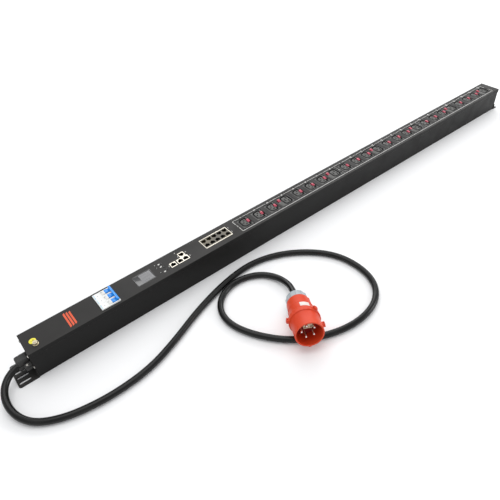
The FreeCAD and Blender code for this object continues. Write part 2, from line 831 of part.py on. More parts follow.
def outlet_master(name, before, core, slots_at, slot_size, tab_at, tab_offset, both_ends):
    """One outlet, with its socket's middle at the origin and its face on the XY plane."""
    half_length, half_width, chamfer = core
    body = new_body(name + "_master")
    face = sketch_on(body, "XY_Plane", name + "_face")
    outline(face, rectangle(f"-{before}", "outlet_after", *OUTLET_SIDES))
    pad(body, face, "outlet_body_depth", reversed_way=True)
    ring = sketch_on(body, "XY_Plane", name + "_ring")
    outline(ring, socket_ring(half_length, half_width, chamfer, both_ends))
    wide = (f"({half_length} + socket_gap)", f"({half_width} + socket_gap)")
    outline(ring, socket_ring(*wide, f"({chamfer} + socket_gap / 2)", both_ends))
    pocket(body, ring, "socket_depth")
    slots = sketch_on(body, "XY_Plane", name + "_slots")
    slot_length, slot_width = slot_size
    for x, y in slots_at:
        x_ends = (str(x - slot_length / 2), str(x + slot_length / 2))
        y_ends = (str(y - slot_width / 2), str(y + slot_width / 2))
        outline(slots, rectangle(*x_ends, *y_ends))
    pocket(body, slots, "outlet_body_depth")
    tab_seat = sketch_on(body, "XY_Plane", name + "_tab_seat")
    away = 1 if before == "outlet_before" else -1
    still_end = f"{tab_at} - {away} * (tab_length / 2 + gap)"
    travel_end = f"{tab_at} + {away} * (tab_length / 2 + tab_travel + gap)"
    ends = sorted((still_end, travel_end), key=number)
    sides = (f"{tab_offset} - tab_half_width - gap", f"{tab_offset} + tab_half_width + gap")
    outline(tab_seat, rectangle(*ends, *sides))
    pocket(body, tab_seat, "tab_sink + gap")
    return body


SMALL_CORE = ("small_core_half_length", "small_core_half_width", "small_core_chamfer")
LARGE_CORE = ("large_core_half_length", "large_core_half_width", "large_core_chamfer")
SMALL_SLOTS = ((2, -7), (2, 7), (-3, 0))
LARGE_SLOTS = ((4, -6.5), (4, 6.5), (-4, 0))
SMALL_SLOT = (4.6, 2.6)
LARGE_SLOT = (2.6, 8.4)
small_outlet = outlet_master(
    "small_outlet", "outlet_before", SMALL_CORE, SMALL_SLOTS, SMALL_SLOT, "small_tab_place", "0", False
)
LARGE_TAB = ("large_tab_place", "large_tab_offset")
large_outlet = outlet_master(
    "large_outlet", "large_before", LARGE_CORE, LARGE_SLOTS, LARGE_SLOT, *LARGE_TAB, True
)
OUTLET_FACE = "(case_depth - outlet_recess)"


def placed(name, shape, place, offset, height):
    """A copy of a finished shape at another place."""
    copy = doc.addObject("Part::Feature", name)
    copy.Shape = shape.copy()
    places = {".Placement.Base.x": along(place), ".Placement.Base.y": offset, ".Placement.Base.z": height}
    return bind(copy, places)


small_outlets = []
for index, place in enumerate(SMALL_PLACES):
    small_outlets.append(placed(f"small_outlet_{index}", small_outlet.Shape, place, "0", OUTLET_FACE))
part("small_outlets", grouped("small_outlet_group", small_outlets))
large_outlets = []
for index, place in enumerate(LARGE_PLACES):
    large_outlets.append(placed(f"large_outlet_{index}", large_outlet.Shape, place, "0", OUTLET_FACE))
part("large_outlets", grouped("large_outlet_group", large_outlets))

# Lock tabs: a sliding latch beside every socket, with a ramp for the thumb.
tab_body = new_body("tab_master")
tab_profile = outline(
    sketch_on(tab_body, "YZ_Plane", "tab_profile"),
    [
        ("-tab_half_width", "-tab_sink"),
        ("tab_half_width", "-tab_sink"),
        ("tab_half_width", "3"),
        ("tab_half_width - 4", "3"),
        ("-tab_half_width", "0.8"),
    ],
)
pad(tab_body, tab_profile, "tab_length", both_ways=True)
all_outlets = [(place, "small_tab_place", "0") for place in SMALL_PLACES]
all_outlets += [(place, "large_tab_place", "large_tab_offset") for place in LARGE_PLACES]
all_outlets.sort(key=lambda outlet: number(outlet[0]))
for index, (place, tab_at, tab_offset) in enumerate(all_outlets, start=1):
    name = f"lock_tab_{index:02d}"
    part(name, placed(name + "_solid", tab_body.Shape, f"{place} + {tab_at}", tab_offset, OUTLET_FACE))

# Contacts: a strip of brass deep in every slot.
contacts = []
for places, slots_at, (slot_length, slot_width) in (
    (SMALL_PLACES, SMALL_SLOTS, SMALL_SLOT),
    (LARGE_PLACES, LARGE_SLOTS, LARGE_SLOT),
):
    for place in places:
        for x, y in slots_at:
            foot = f"{OUTLET_FACE} - outlet_body_depth - 2"
            length, width = slot_length - 0.8, slot_width - 0.8
            contacts.append(block("contact", length, width, "18", along(f"{place} + {x}"), y, foot))
part("outlet_contacts", grouped("contact_group", contacts))

# --- copper bars under the outlets  --------------------------------------------------------------
BAR_MIDDLE = "(bars_start + bars_end) / 2"
BAR_LENGTH = "bars_end - bars_start"


def bar(name, offset):
    """One copper bar along the outlets, standing on edge."""
    return block(name, BAR_LENGTH, "bar_thickness", "bar_depth", along(BAR_MIDDLE), offset, "bar_bottom")


power_bars = [bar(f"power_bar_{index}", f"{index - 2} * bar_pitch") for index in range(4)]
part("power_bars", grouped("power_bar_group", power_bars))
earth_bar = bar("earth_bar_strip", "2 * bar_pitch")
part("earth_bar", earth_bar)

supports = []
for index in range(5):
    middle = along(f"bars_start + 20 + {index} * (bars_end - bars_start - 40) / 4")
    comb = block(f"comb_{index}", "12", "56", "18", middle, "0", "tray_steel + gap")
    teeth = []
    for row in range(5):
        offset = f"{row - 2} * bar_pitch"
        width = "bar_thickness + 2 * gap"
        teeth.append(block("tooth", "14", width, "20", middle, offset, "bar_bottom - gap"))
    supports.append(cut(f"support_{index}", comb, teeth))
part("bar_supports", grouped("support_group", supports))

# --- plug: pieces turned about one axis, which runs back from the mouth  -------------------------
# The plug's own Z axis runs from the mouth to the gland. It is laid back, turned and tipped in one placement.
plug_pieces = {}
plug_turn = number("plug_turn")
plug_tilt = number("plug_tilt")
PLUG_LIE = FreeCAD.Rotation(FreeCAD.Vector(0, 0, 1), plug_turn)
PLUG_LIE = PLUG_LIE.multiply(FreeCAD.Rotation(FreeCAD.Vector(0, 1, 0), 90 + plug_tilt))
PLUG_MOUTH = FreeCAD.Vector(
    number(along("plug_mouth_along")), number("plug_mouth_across"), number("plug_mouth_height")
)


def on_plug(name, thing):
    """Lays a finished plug piece where the plug lies."""
    laid = doc.addObject("Part::Feature", name + "_laid")
    laid.Shape = thing.Shape.copy()
    laid.Placement = FreeCAD.Placement(PLUG_MOUTH, PLUG_LIE)
    return part(name, laid)


SHROUD_INSIDE = "(shroud_radius - shroud_wall)"
LUGS = ((100, "collar_start + 1"), (220, "collar_start + 1"), (262, "front_lug_start"))
FIRST_PIN_ANGLE = 22
shroud = turned(
    "shroud",
    [
        (SHROUD_INSIDE, "0"),
        ("shroud_radius", "0"),
        ("shroud_radius + 1", "collar_start"),
        ("collar_radius", "collar_start"),
        ("collar_radius", "collar_end"),
        ("12", "collar_end"),
        ("12", "shroud_depth"),
        (SHROUD_INSIDE, "shroud_depth"),
    ],
)
shroud_pieces = [shroud]
# Two lugs on the collar and one nearer the mouth; an angle of 0 points down at the floor.
for angle, lug_start in LUGS:
    lug = doc.addObject("Part::Feature", f"plug_lug_{angle}")
    lug_root = "collar_radius - 2" if lug_start != "front_lug_start" else "shroud_radius - 1"
    low_corner = [number(words) for words in (lug_root, "-lug_width / 2", lug_start)]
    sizes = [number(words) for words in ("lug_length", "lug_width", "lug_height")]
    lug_shape = Part.makeBox(*sizes, FreeCAD.Vector(*low_corner))
    lug_shape.rotate(FreeCAD.Vector(), FreeCAD.Vector(0, 0, 1), angle)
    lug.Shape = lug_shape
    shroud_pieces.append(lug)
shroud_whole = joined("shroud_whole", shroud_pieces)
doc.recompute()
on_plug("plug_shroud", shroud_whole)

housing = turned(
    "housing",
    [
        ("12", "collar_end + gap"),
        ("collar_radius - 2", "collar_end + gap"),
        ("housing_radius", "collar_end + 6"),
        ("housing_back_radius", "housing_end"),
        ("12", "housing_end"),
    ],
)
on_plug("plug_housing", housing)

gland = turned(
    "gland",
    [
        ("cord_radius + gap / 2", "gland_start"),
        ("gland_radius", "gland_start"),
        ("gland_radius", "gland_end - 6"),
        ("gland_radius - 5", "gland_end"),
        ("cord_radius + gap / 2", "gland_end"),
    ],
)
on_plug("gland_nut", gland)

INSERT_FOOT = "shroud_depth - insert_thickness - gap"
insert_blank = rod("insert_blank", f"{SHROUD_INSIDE} - 0.3", "insert_thickness", "0", "0", INSERT_FOOT)
pins = []
for index in range(5):
    angle = FIRST_PIN_ANGLE + 72 * index
    x = f"pin_circle_radius * cos({angle} * 1deg)"
    y = f"pin_circle_radius * sin({angle} * 1deg)"
    length = "shroud_depth - gap - pin_tip_depth"
    pins.append(rod(f"pin_{index}", "pin_radius", length, x, y, "pin_tip_depth"))
part_pins = grouped("pin_group", pins)
doc.recompute()
insert = cut("insert", insert_blank, [part_pins])
on_plug("plug_insert", insert)
on_plug("plug_pins", part_pins)

# --- cord  ---------------------------------------------------------------------------------------
route = [FreeCAD.Vector(number(along(x)), y, z) for x, y, z in CORD_ROUTE]


def cord_path(points):
    """The edges and radii of straight runs joined by tangent arcs, each as large as its runs allow."""
    edges = []
    radii = []
    here = points[0]
    for before, corner, after in zip(points, points[1:], points[2:]):
        into = (corner - before).normalize()
        out = (after - corner).normalize()
        turn = into.getAngle(out)
        reach = 0.45 * min((corner - before).Length, (after - corner).Length)
        radii.append(reach / math.tan(turn / 2))
        start = corner - into * reach
        end = corner + out * reach
        bow = radii[-1] / math.cos(turn / 2) - radii[-1]
        middle = corner + (out - into).normalize() * bow
        edges.append(Part.LineSegment(here, start).toShape())
        edges.append(Part.Arc(start, middle, end).toShape())
        here = end
    edges.append(Part.LineSegment(here, points[-1]).toShape())
    return edges, radii


cord_edges, cord_radii = cord_path(route)
cord_spine = Part.Wire(cord_edges)
cord_section = Part.Wire(Part.Circle(route[0], route[1] - route[0], number("cord_radius")).toShape())
cord_tube = doc.addObject("Part::Feature", "cord_tube")
cord_tube.Shape = cord_spine.makePipeShell([cord_section], True, True)
part("cord", cord_tube)
cord_volume = math.pi * number("cord_radius") ** 2 * cord_spine.Length
print("cord length", round(cord_spine.Length, 1), "radii", [round(radius) for radius in cord_radii])
print("cord volume over section times length", round(cord_tube.Shape.Volume / cord_volume, 4))

# --- check and write out  ------------------------------------------------------------------------
doc.recompute()
for thing in doc.Objects:
    if "Invalid" in thing.State or "Error" in thing.State:
        raise RuntimeError(f"{thing.Name} did not compute: {thing.State}")
for name, thing in parts.items():
    if thing.Shape.isNull() or not thing.Shape.isValid():
        raise RuntimeError(f"{name} has no valid shape")
os.makedirs("parts", exist_ok=True)
for name, thing in parts.items():
    thing.Shape.exportStep(f"parts/{name}.step")
print(len(parts), "sub-parts written")
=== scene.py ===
"""Rack power strip: the looks of its pieces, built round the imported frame, in metres in the row frame."""

import math

import bpy
from mathutils import Matrix, Vector


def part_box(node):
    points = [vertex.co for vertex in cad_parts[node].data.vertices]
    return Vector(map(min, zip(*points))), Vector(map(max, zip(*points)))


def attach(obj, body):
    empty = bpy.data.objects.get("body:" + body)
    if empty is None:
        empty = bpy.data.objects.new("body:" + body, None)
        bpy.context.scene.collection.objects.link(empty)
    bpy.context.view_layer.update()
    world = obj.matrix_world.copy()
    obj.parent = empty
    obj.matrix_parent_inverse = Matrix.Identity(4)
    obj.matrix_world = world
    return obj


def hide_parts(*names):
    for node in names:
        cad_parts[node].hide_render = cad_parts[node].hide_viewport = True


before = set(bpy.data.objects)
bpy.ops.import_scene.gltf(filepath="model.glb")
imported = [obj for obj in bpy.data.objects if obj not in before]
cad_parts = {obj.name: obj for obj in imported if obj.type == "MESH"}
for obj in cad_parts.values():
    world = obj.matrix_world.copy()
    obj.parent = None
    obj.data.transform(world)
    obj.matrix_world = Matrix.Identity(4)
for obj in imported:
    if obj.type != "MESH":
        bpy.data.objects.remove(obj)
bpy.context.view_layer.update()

case_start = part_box("front_cover")[0].x
face_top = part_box("front_cover")[1].z

# --- Camera, floor and light ------------------------------------------------------------------------
# A pale floor under soft daylight: a soft box overhead, a long one behind the strip, a small one beside
# its far end and an even sky, so that the black steel shows its top face lighter than its sides.
camera_place = (-0.8014, -0.7872, 0.8683)
bpy.ops.object.camera_add(location=camera_place)
camera = bpy.context.object
looks_along = Vector((0.4322, 0.5972, -0.6757)).normalized()
image_up = Vector((0.4565, 0.5013, 0.7350)).normalized()
image_right = looks_along.cross(image_up).normalized()
turned_view = Matrix((image_right, image_up, -looks_along)).transposed().to_4x4()
camera.matrix_world = Matrix.Translation(camera.location) @ turned_view
camera.data.lens = 35.2
camera.data.shift_x = -0.0042
camera.data.shift_y = -0.0058
bpy.context.scene.camera = camera
bpy.context.scene.view_settings.view_transform = "Standard"

bpy.ops.mesh.primitive_plane_add(size=60, location=(0, 0, -0.0003))
floor = bpy.context.object
floor.name = "studio_floor"
floor_paint = bpy.data.materials.new("studio_floor")
floor_paint.use_nodes = True
floor_shader = floor_paint.node_tree.nodes["Principled BSDF"]
floor_shader.inputs["Base Color"].default_value = (0.93, 0.93, 0.93, 1)
floor_shader.inputs["Roughness"].default_value = 0.9
floor_shader.inputs["Specular IOR Level"].default_value = 0.1
floor.data.materials.append(floor_paint)

sky = bpy.data.worlds.new("soft_sky")
sky.use_nodes = True
sky.node_tree.nodes["Background"].inputs["Color"].default_value = (0.97, 0.98, 1, 1)
sky.node_tree.nodes["Background"].inputs["Strength"].default_value = 0.7
bpy.context.scene.world = sky


def soft_box(name, place, aim, size, watts):
    """A square area light that faces a point."""
    bpy.ops.object.light_add(type="AREA", location=place)
    lamp = bpy.context.object
    lamp.name = name
    lamp.data.size = size
    lamp.data.energy = watts
    lamp.rotation_mode = "QUATERNION"
    lamp.rotation_quaternion = (Vector(aim) - Vector(place)).to_track_quat("-Z", "Y")
    return lamp


soft_box("overhead_box", (-0.3, 0.3, 2.6), (0, 0, 0), 2.4, 30)
far_bar = soft_box("far_bar", (1.9, 2.1, 2.1), (0.1, 0, 0), 4.6, 58)
far_bar.data.shape = "RECTANGLE"
far_bar.data.size_y = 1.5
soft_box("side_box", (2.1, -1.7, 1.1), (0.8, 0, 0), 0.9, 16)

# --- Supply cord ------------------------------------------------------------------------------------
# A five-core rubber-sheathed lead, 15 mm thick, gripped by the clamp at the cord end. It loops out over
# the floor, passes under its own plug and runs back up into the plug's gland.


def new_group(name, takes, gives):
    """An empty group of shader nodes with named sockets, and its two end nodes."""
    group = bpy.data.node_groups.new(name, "ShaderNodeTree")
    for title, kind, value in takes:
        group.interface.new_socket(title, in_out="INPUT", socket_type=kind).default_value = value
    for title, kind in gives:
        group.interface.new_socket(title, in_out="OUTPUT", socket_type=kind)
    return group, group.nodes.new("NodeGroupInput"), group.nodes.new("NodeGroupOutput")


def node(tree, kind, settings=None, **sockets):
    """A shader node with its settings and plain socket values; a socket value joins a node's output."""
    made = tree.nodes.new("ShaderNode" + kind)
    for name, value in (settings or {}).items():
        setattr(made, name, value)
    for name, value in sockets.items():
        socket = made.inputs[int(name[1:])] if name[0] == "_" else made.inputs[name.replace("_", " ")]
        if isinstance(value, bpy.types.NodeSocket):
            tree.links.new(value, socket)
        else:
            socket.default_value = value
    return made


NUMBER, COLOUR = "NodeSocketFloat", "NodeSocketColor"

# Grain: the fine skin of a moulding or a coat of paint, from two sizes of noise.
grain_group, grain_in, grain_out = new_group("grain", [("Scale", NUMBER, 900)], [("Height", NUMBER)])
place = node(grain_group, "TexCoord").outputs["Object"]
fine = node(grain_group, "TexNoise", Vector=place, Scale=grain_in.outputs["Scale"], Detail=3)
third = node(grain_group, "Math", {"operation": "MULTIPLY"}, _0=grain_in.outputs["Scale"], _1=0.3)
coarse = node(grain_group, "TexNoise", Vector=place, Scale=third.outputs[0], Detail=2)
both = node(
    grain_group,
    "Math",
    {"operation": "MULTIPLY_ADD"},
    _0=coarse.outputs[0],
    _1=0.6,
    _2=fine.outputs[0],
)
grain_group.links.new(both.outputs[0], grain_out.inputs["Height"])

# Handling: patches where hands and dust have changed the colour and the gloss a little.
takes = [("Colour", COLOUR, (1, 1, 1, 1)), ("Marked", COLOUR, (1, 1, 1, 1))]
takes += [("Amount", NUMBER, 0.3), ("Roughness", NUMBER, 0.5), ("Size", NUMBER, 20)]
handling_group, used, handled = new_group("handling", takes, [("Colour", COLOUR), ("Roughness", NUMBER)])
place = node(handling_group, "TexCoord").outputs["Object"]
cloud = node(handling_group, "TexNoise", Vector=place, Scale=used.outputs["Size"], Detail=5, Distortion=0.6)
mask = node(handling_group, "MapRange", Value=cloud.outputs[0], From_Min=0.42, From_Max=0.75)
share = node(
    handling_group, "Math", {"operation": "MULTIPLY"}, _0=mask.outputs[0], _1=used.outputs["Amount"]
)
mixed = node(handling_group, "Mix", {"data_type": "RGBA"}, Factor=share.outputs[0])
handling_group.links.new(used.outputs["Colour"], mixed.inputs[6])
handling_group.links.new(used.outputs["Marked"], mixed.inputs[7])
rougher = node(
    handling_group,
    "Math",
    {"operation": "MULTIPLY_ADD", "use_clamp": True},
    _0=share.outputs[0],
    _1=0.35,
    _2=used.outputs["Roughness"],
)
handling_group.links.new(mixed.outputs[2], handled.inputs["Colour"])
handling_group.links.new(rougher.outputs[0], handled.inputs["Roughness"])

# Rubbed edges: a mask that is 1 on an edge and 0 on a flat, broken up by noise.
edge_group, edge_in, edge_out = new_group("rubbed_edges", [("Width", NUMBER, 0.0006)], [("Mask", NUMBER)])
rounded_off = node(edge_group, "Bevel", {"samples": 4}, Radius=edge_in.outputs["Width"])
flat_on = node(edge_group, "NewGeometry").outputs["True Normal"]
alike = node(
    edge_group, "VectorMath", {"operation": "DOT_PRODUCT"}, _0=rounded_off.outputs[0], _1=flat_on
)
turn = node(edge_group, "MapRange", Value=alike.outputs["Value"], From_Min=0.995, From_Max=0.8)
place = node(edge_group, "TexCoord").outputs["Object"]
breaks = node(edge_group, "TexNoise", Vector=place, Scale=160, Detail=3)
patchy = node(edge_group, "MapRange", Value=breaks.outputs[0], From_Min=0.42, From_Max=0.62)
worn = node(edge_group, "Math", {"operation": "MULTIPLY"}, _0=turn.outputs[0], _1=patchy.outputs[0])
edge_group.links.new(worn.outputs[0], edge_out.inputs["Mask"])


def finish_of(
    name, colour, roughness, marked=None, amount=0.3, grain=900, depth=0.00002, edge=None, **shader
):
    """A material: its colour changed by handling, its skin by grain and, if it has an edge colour, rubbed
    on its edges. What is the same all over is set on the shader itself."""
    made = bpy.data.materials.new(name)
    made.use_nodes = True
    tree = made.node_tree
    principled = tree.nodes["Principled BSDF"]
    for socket, value in shader.items():
        principled.inputs[socket.replace("_", " ")].default_value = value
    marked = marked or [min(1, 1.6 * part + 0.02) for part in colour]
    worked = node(tree, "Group", {"node_tree": handling_group}, Amount=amount, Roughness=roughness)
    worked.inputs["Colour"].default_value = (*colour, 1)
    worked.inputs["Marked"].default_value = (*marked, 1)
    shown = worked.outputs["Colour"]
    if edge:
        rubbed = node(tree, "Group", {"node_tree": edge_group})
        mixed = node(tree, "Mix", {"data_type": "RGBA"}, Factor=rubbed.outputs[0])
        tree.links.new(shown, mixed.inputs[6])
        mixed.inputs[7].default_value = (*edge, 1)
        shown = mixed.outputs[2]
    tree.links.new(shown, principled.inputs["Base Color"])
    tree.links.new(worked.outputs["Roughness"], principled.inputs["Roughness"])
    skin = node(tree, "Group", {"node_tree": grain_group}, Scale=grain)
    bump = node(tree, "Bump", Strength=1, Distance=depth, Height=skin.outputs[0])
    tree.links.new(bump.outputs[0], principled.inputs["Normal"])
    return made


def paint(piece, material):
    """Gives a piece one material all over."""
    piece.data.materials.clear()
    piece.data.materials.append(material)
    return piece


cord_radius, cord_height = 0.0075, 0.03
laid = 0.0076
cord_points = (
    (-0.001, 0, cord_height),
    (-0.0275, -0.0015, 0.0292),
    (-0.052, -0.011, 0.0255),
    (-0.07, -0.033, 0.0195),
    (-0.076, -0.064, 0.014),
    (-0.07, -0.098, 0.01),
    (-0.052, -0.128, 0.008),
    (-0.022, -0.15, laid),
    (0.024, -0.168, laid),
    (0.098, -0.179, laid),
    (0.185, -0.174, laid),
    (0.262, -0.148, laid),
    (0.352, -0.109, laid),
    (0.45, -0.08, laid),
    (0.535, -0.071, laid),
    (0.61, -0.092, laid),
    (0.673, -0.136, laid),
    (0.715, -0.19, laid),
    (0.728, -0.25, laid),
    (0.72, -0.308, laid),
    (0.688, -0.35, laid),
    (0.636, -0.371, laid),
    (0.573, -0.371, laid),
    (0.507, -0.349, laid),
    (0.449, -0.31, laid),
    (0.407, -0.256, laid),
    (0.383, -0.203, laid),
    (0.382, -0.157, laid),
    (0.405, -0.119, laid),
    (0.446, -0.098, laid),
    (0.49, -0.098, laid),
    (0.528, -0.115, laid),
    (0.551, -0.146, 0.009),
    (0.5565, -0.182, 0.013),
    (0.548, -0.2134, 0.0199),
    (0.5306, -0.2441, 0.0274),
)
cord_line = bpy.data.curves.new("supply_cord", "CURVE")
cord_line.dimensions = "3D"
run = cord_line.splines.new("NURBS")
run.points.add(len(cord_points) - 1)
for knot, (x, y, z) in zip(run.points, cord_points):
    knot.co = (case_start + x, y, z, 1)
run.order_u = 3
run.use_endpoint_u = True
run.resolution_u = 12
cord_line.bevel_depth = cord_radius
cord_line.bevel_resolution = 7
cord_line.use_fill_caps = True
supply_cord = bpy.data.objects.new("supply_cord", cord_line)
bpy.context.scene.collection.objects.link(supply_cord)
rubber = finish_of(
    "cord_rubber",
    (0.003, 0.003, 0.003),
    0.2,
    (0.012, 0.012, 0.011),
    0.5,
    1000,
    0.000003,
    Specular_IOR_Level=0.3,
)
paint(supply_cord, rubber)
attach(supply_cord, "strip")
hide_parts("cord")

# --- Steel case -------------------------------------------------------------------------------------
# Folded sheet steel under a satin black powder coat: a U-shaped tray, a cover with turned-down lips, a
# plate in each end and an angle bracket that bolts each end to the rack.
powder_coat = finish_of(
    "black_powder_coat",
    (0.0075, 0.0073, 0.007),
    0.4,
    (0.014, 0.0135, 0.013),
    0.5,
    1500,
    0.00004,
    (0.07, 0.067, 0.064),
    Specular_IOR_Level=0.16,
)

# Painted top light: the coat is painted greyer on faces that look up, standing in for the light that falls on
# them from above, a little more here and there.
top_light_group, top_light_in, top_light_out = new_group("painted_top_light", [("Amount", NUMBER, 0.8)], [("Mask", NUMBER)])
up = node(top_light_group, "SeparateXYZ", _0=node(top_light_group, "NewGeometry").outputs["Normal"]).outputs["Z"]
level = node(top_light_group, "MapRange", Value=up, From_Min=0.75, From_Max=0.98)
place = node(top_light_group, "TexCoord").outputs["Object"]
top_noise = node(top_light_group, "TexNoise", Vector=place, Scale=14, Detail=6)
uneven = node(top_light_group, "MapRange", Value=top_noise.outputs[0], From_Min=0.3, From_Max=0.7, To_Min=0.75)
facing_up = node(top_light_group, "Math", {"operation": "MULTIPLY"}, _0=level.outputs[0], _1=uneven.outputs[0])
top_light_mask = node(top_light_group, "Math", {"operation": "MULTIPLY"}, _0=facing_up.outputs[0], _1=top_light_in.outputs[0])
top_light_group.links.new(top_light_mask.outputs[0], top_light_out.inputs["Mask"])


def dusted(made, top_tone, amount):
    """Lays a lighter tone over a material's colour on faces that look up: painted light from above."""
    tree = made.node_tree
    base = tree.nodes["Principled BSDF"].inputs["Base Color"]
    plain_colour = base.links[0].from_socket
    top_light = node(tree, "Group", {"node_tree": top_light_group}, Amount=amount)
    lightened_top = node(tree, "Mix", {"data_type": "RGBA"}, Factor=top_light.outputs[0])
    tree.links.new(plain_colour, lightened_top.inputs[6])
    lightened_top.inputs[7].default_value = (*top_tone, 1)
    tree.links.new(lightened_top.outputs[2], base)
    return made


# Painted top light: a lighter grey laid on the upward faces of the black coat.
dusted(powder_coat, (0.038, 0.0365, 0.035), 0.85)
for name in ("base_tray", "front_cover", "cord_end_plate", "far_end_plate", "mounting_ear", "far_ear"):
    paint(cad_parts[name], powder_coat)

# --- Screws of the end plates -----------------------------------------------------------------------
# Eight zinc-plated pan heads with a cross recess, four in each end, that hold the end plates and the
# ears to flanges inside the tray.


def block(name, low, high):
    """A box between two corners, as the start of a piece."""
    bpy.ops.object.select_all(action="DESELECT")
    bpy.ops.mesh.primitive_cube_add(size=1, location=(Vector(low) + Vector(high)) / 2)
    started = bpy.context.object
    started.name = name
    started.scale = Vector(high) - Vector(low)
    bpy.ops.object.transform_apply(location=True, rotation=True, scale=True)
    return started


def rod(name, radius, start, end, sides=32):
    """A round bar between two points, as the start of a piece or as a tool."""
    run = Vector(end) - Vector(start)
    lie = run.to_track_quat("Z", "Y").to_euler()
    middle = (Vector(start) + Vector(end)) / 2
    bpy.ops.object.select_all(action="DESELECT")
    bpy.ops.mesh.primitive_cylinder_add(
        vertices=sides, radius=radius, depth=run.length, location=middle, rotation=lie
    )
    started = bpy.context.object
    started.name = name
    bpy.ops.object.transform_apply(location=True, rotation=True, scale=True)
    return started


def turned(name, section, steps=32):
    """A round piece about its own Z axis: a closed section of radius and height pairs, spun once round."""
    bpy.ops.object.select_all(action="DESELECT")
    bpy.ops.mesh.primitive_circle_add(vertices=len(section))
    spun = bpy.context.object
    spun.name = name
    for vertex, (radius, height) in zip(spun.data.vertices, section):
        vertex.co = (radius, 0, height)
    bpy.ops.object.mode_set(mode="EDIT")
    bpy.ops.mesh.select_all(action="SELECT")
    bpy.ops.mesh.spin(steps=steps, angle=math.tau, center=(0, 0, 0), axis=(0, 0, 1))
    bpy.ops.mesh.select_all(action="SELECT")
    bpy.ops.mesh.remove_doubles(threshold=0.00001)
    bpy.ops.mesh.dissolve_degenerate(threshold=0.00001)
    bpy.ops.mesh.normals_make_consistent(inside=False)
    bpy.ops.object.mode_set(mode="OBJECT")
    return spun


def carve(piece, tool, way="DIFFERENCE"):
    """Takes a tool's shape out of a piece, or adds it, and throws the tool away."""
    cutter = piece.modifiers.new("carve", "BOOLEAN")
    cutter.operation = way
    cutter.object = tool
    bpy.context.view_layer.objects.active = piece
    bpy.ops.object.modifier_apply(modifier=cutter.name)
    bpy.data.objects.remove(tool)
    return piece


def soften(piece, width=0, steps=2, angle=35):
    """Rounds the sharp edges and shades the rest smooth."""
    bpy.ops.object.select_all(action="DESELECT")
    piece.select_set(True)
    bpy.context.view_layer.objects.active = piece
    if width:
        rounding = piece.modifiers.new("soften", "BEVEL")
        rounding.width = width
        rounding.segments = steps
        rounding.limit_method = "ANGLE"
        rounding.angle_limit = math.radians(angle)
        bpy.ops.object.modifier_apply(modifier=rounding.name)
    bpy.ops.object.shade_smooth_by_angle(angle=math.radians(angle))
    return piece


def copied(piece, name, move):
    """A copy with a mesh of its own, moved by a matrix or a vector."""
    twin = piece.copy()
    twin.data = piece.data.copy()
    twin.name = name
    bpy.context.scene.collection.objects.link(twin)
    twin.data.transform(move if isinstance(move, Matrix) else Matrix.Translation(move))
    return twin


def welded(name, pieces):
    """One object of several."""
    bpy.ops.object.select_all(action="DESELECT")
    for piece in pieces:
        piece.select_set(True)
    bpy.context.view_layer.objects.active = pieces[0]
    bpy.ops.object.join()
    pieces[0].name = name
    return pieces[0]


def fit(piece, material, slot, *nodes, body="strip"):
    """Paints a finished piece, fixes it to its body and hides the nodes that it stands for."""
    paint(piece, material)
    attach(piece, body)
    if nodes:
        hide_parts(*nodes)
    return piece


def pan_head(name, radius, height):
    """A pan head on its own origin, with a cross recess sunk in its top."""
    crown = [(1, 0), (1, 0.35), (0.95, 0.62), (0.82, 0.82), (0.6, 0.95), (0.3, 1), (0, 1), (0, 0)]
    head = turned(name, [(radius * out, height * up) for out, up in crown], 28)
    long_half, short_half, floor = 0.6 * radius, 0.14 * radius, 0.4 * height
    for half_x, half_y in ((long_half, short_half), (short_half, long_half)):
        carve(head, block("recess", (-half_x, -half_y, floor), (half_x, half_y, 2 * height)))
    return soften(head)


# The cover's hems: each lip ends in a thin rolled edge, which stiffens it and catches the light.
cover_low, cover_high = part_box("front_cover")
hem_radius, hem_inset, hem_end = 0.0008, 0.0006, 0.0004
hems = []
for side, across in ((-1, cover_low.y), (1, cover_high.y)):
    start = (cover_low.x + hem_end, across - side * hem_inset, cover_low.z + hem_radius)
    hem = rod("hem", hem_radius, start, (cover_high.x - hem_end, start[1], start[2]), 16)
    hems.append(soften(hem, 0.0003, 2, 60))
fit(welded("cover_hems", hems), powder_coat, "case_steel")

zinc = finish_of(
    "zinc_plate", (0.62, 0.6, 0.56), 0.32, (0.4, 0.37, 0.3), 0.5, 1800, 0.00002, (0.8, 0.78, 0.74), Metallic=1
)
screws_low, screws_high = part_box("end_screws")
screw_radius, screw_height = 0.0028, 0.0018
end_head = pan_head("end_head", screw_radius, screw_height)
end_heads = []
for face, turn in ((screws_low.x + screw_height, -90), (screws_high.x - screw_height, 90)):
    for across in (screws_low.y + screw_radius, screws_high.y - screw_radius):
        for up in (screws_low.z + screw_radius, screws_high.z - screw_radius):
            lie = Matrix.Rotation(math.radians(turn), 4, "Y")
            spot = Matrix.Translation((face, across, up)) @ lie
            end_heads.append(copied(end_head, f"end_screw_{len(end_heads) + 1}", spot))
bpy.data.objects.remove(end_head)
fit(welded("end_screw_heads", end_heads), zinc, "zinc_screw", "end_screws")

# --- Cord clamp -------------------------------------------------------------------------------------
# Two black nylon halves on the cord end plate: a base with its foot, and a domed cap with two wings,
# ribbed across its crown, that two screws pull down on the cord.
clamp_nylon = finish_of(
    "clamp_nylon", (0.03, 0.029, 0.028), 0.5, (0.07, 0.07, 0.068), 0.5, 1400, 0.00004, (0.09, 0.09, 0.088)
)
base_low, base_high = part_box("clamp_base")
cap_low, cap_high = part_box("clamp_cap")
heads_low, heads_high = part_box("clamp_screws")
wing_reach, dome_half, wing_thick = 0.0158, 0.0105, heads_low.z - cap_low.z
groove_half, groove_depth, groove_pitch = 0.001, 0.0011, 0.0062
clamp_back = base_high.x


def cord_seat():
    """The cord's round bed through both halves."""
    start, end = (base_low.x - 0.004, 0, cord_height), (clamp_back + 0.004, 0, cord_height)
    return rod("seat", cord_radius, start, end, 40)


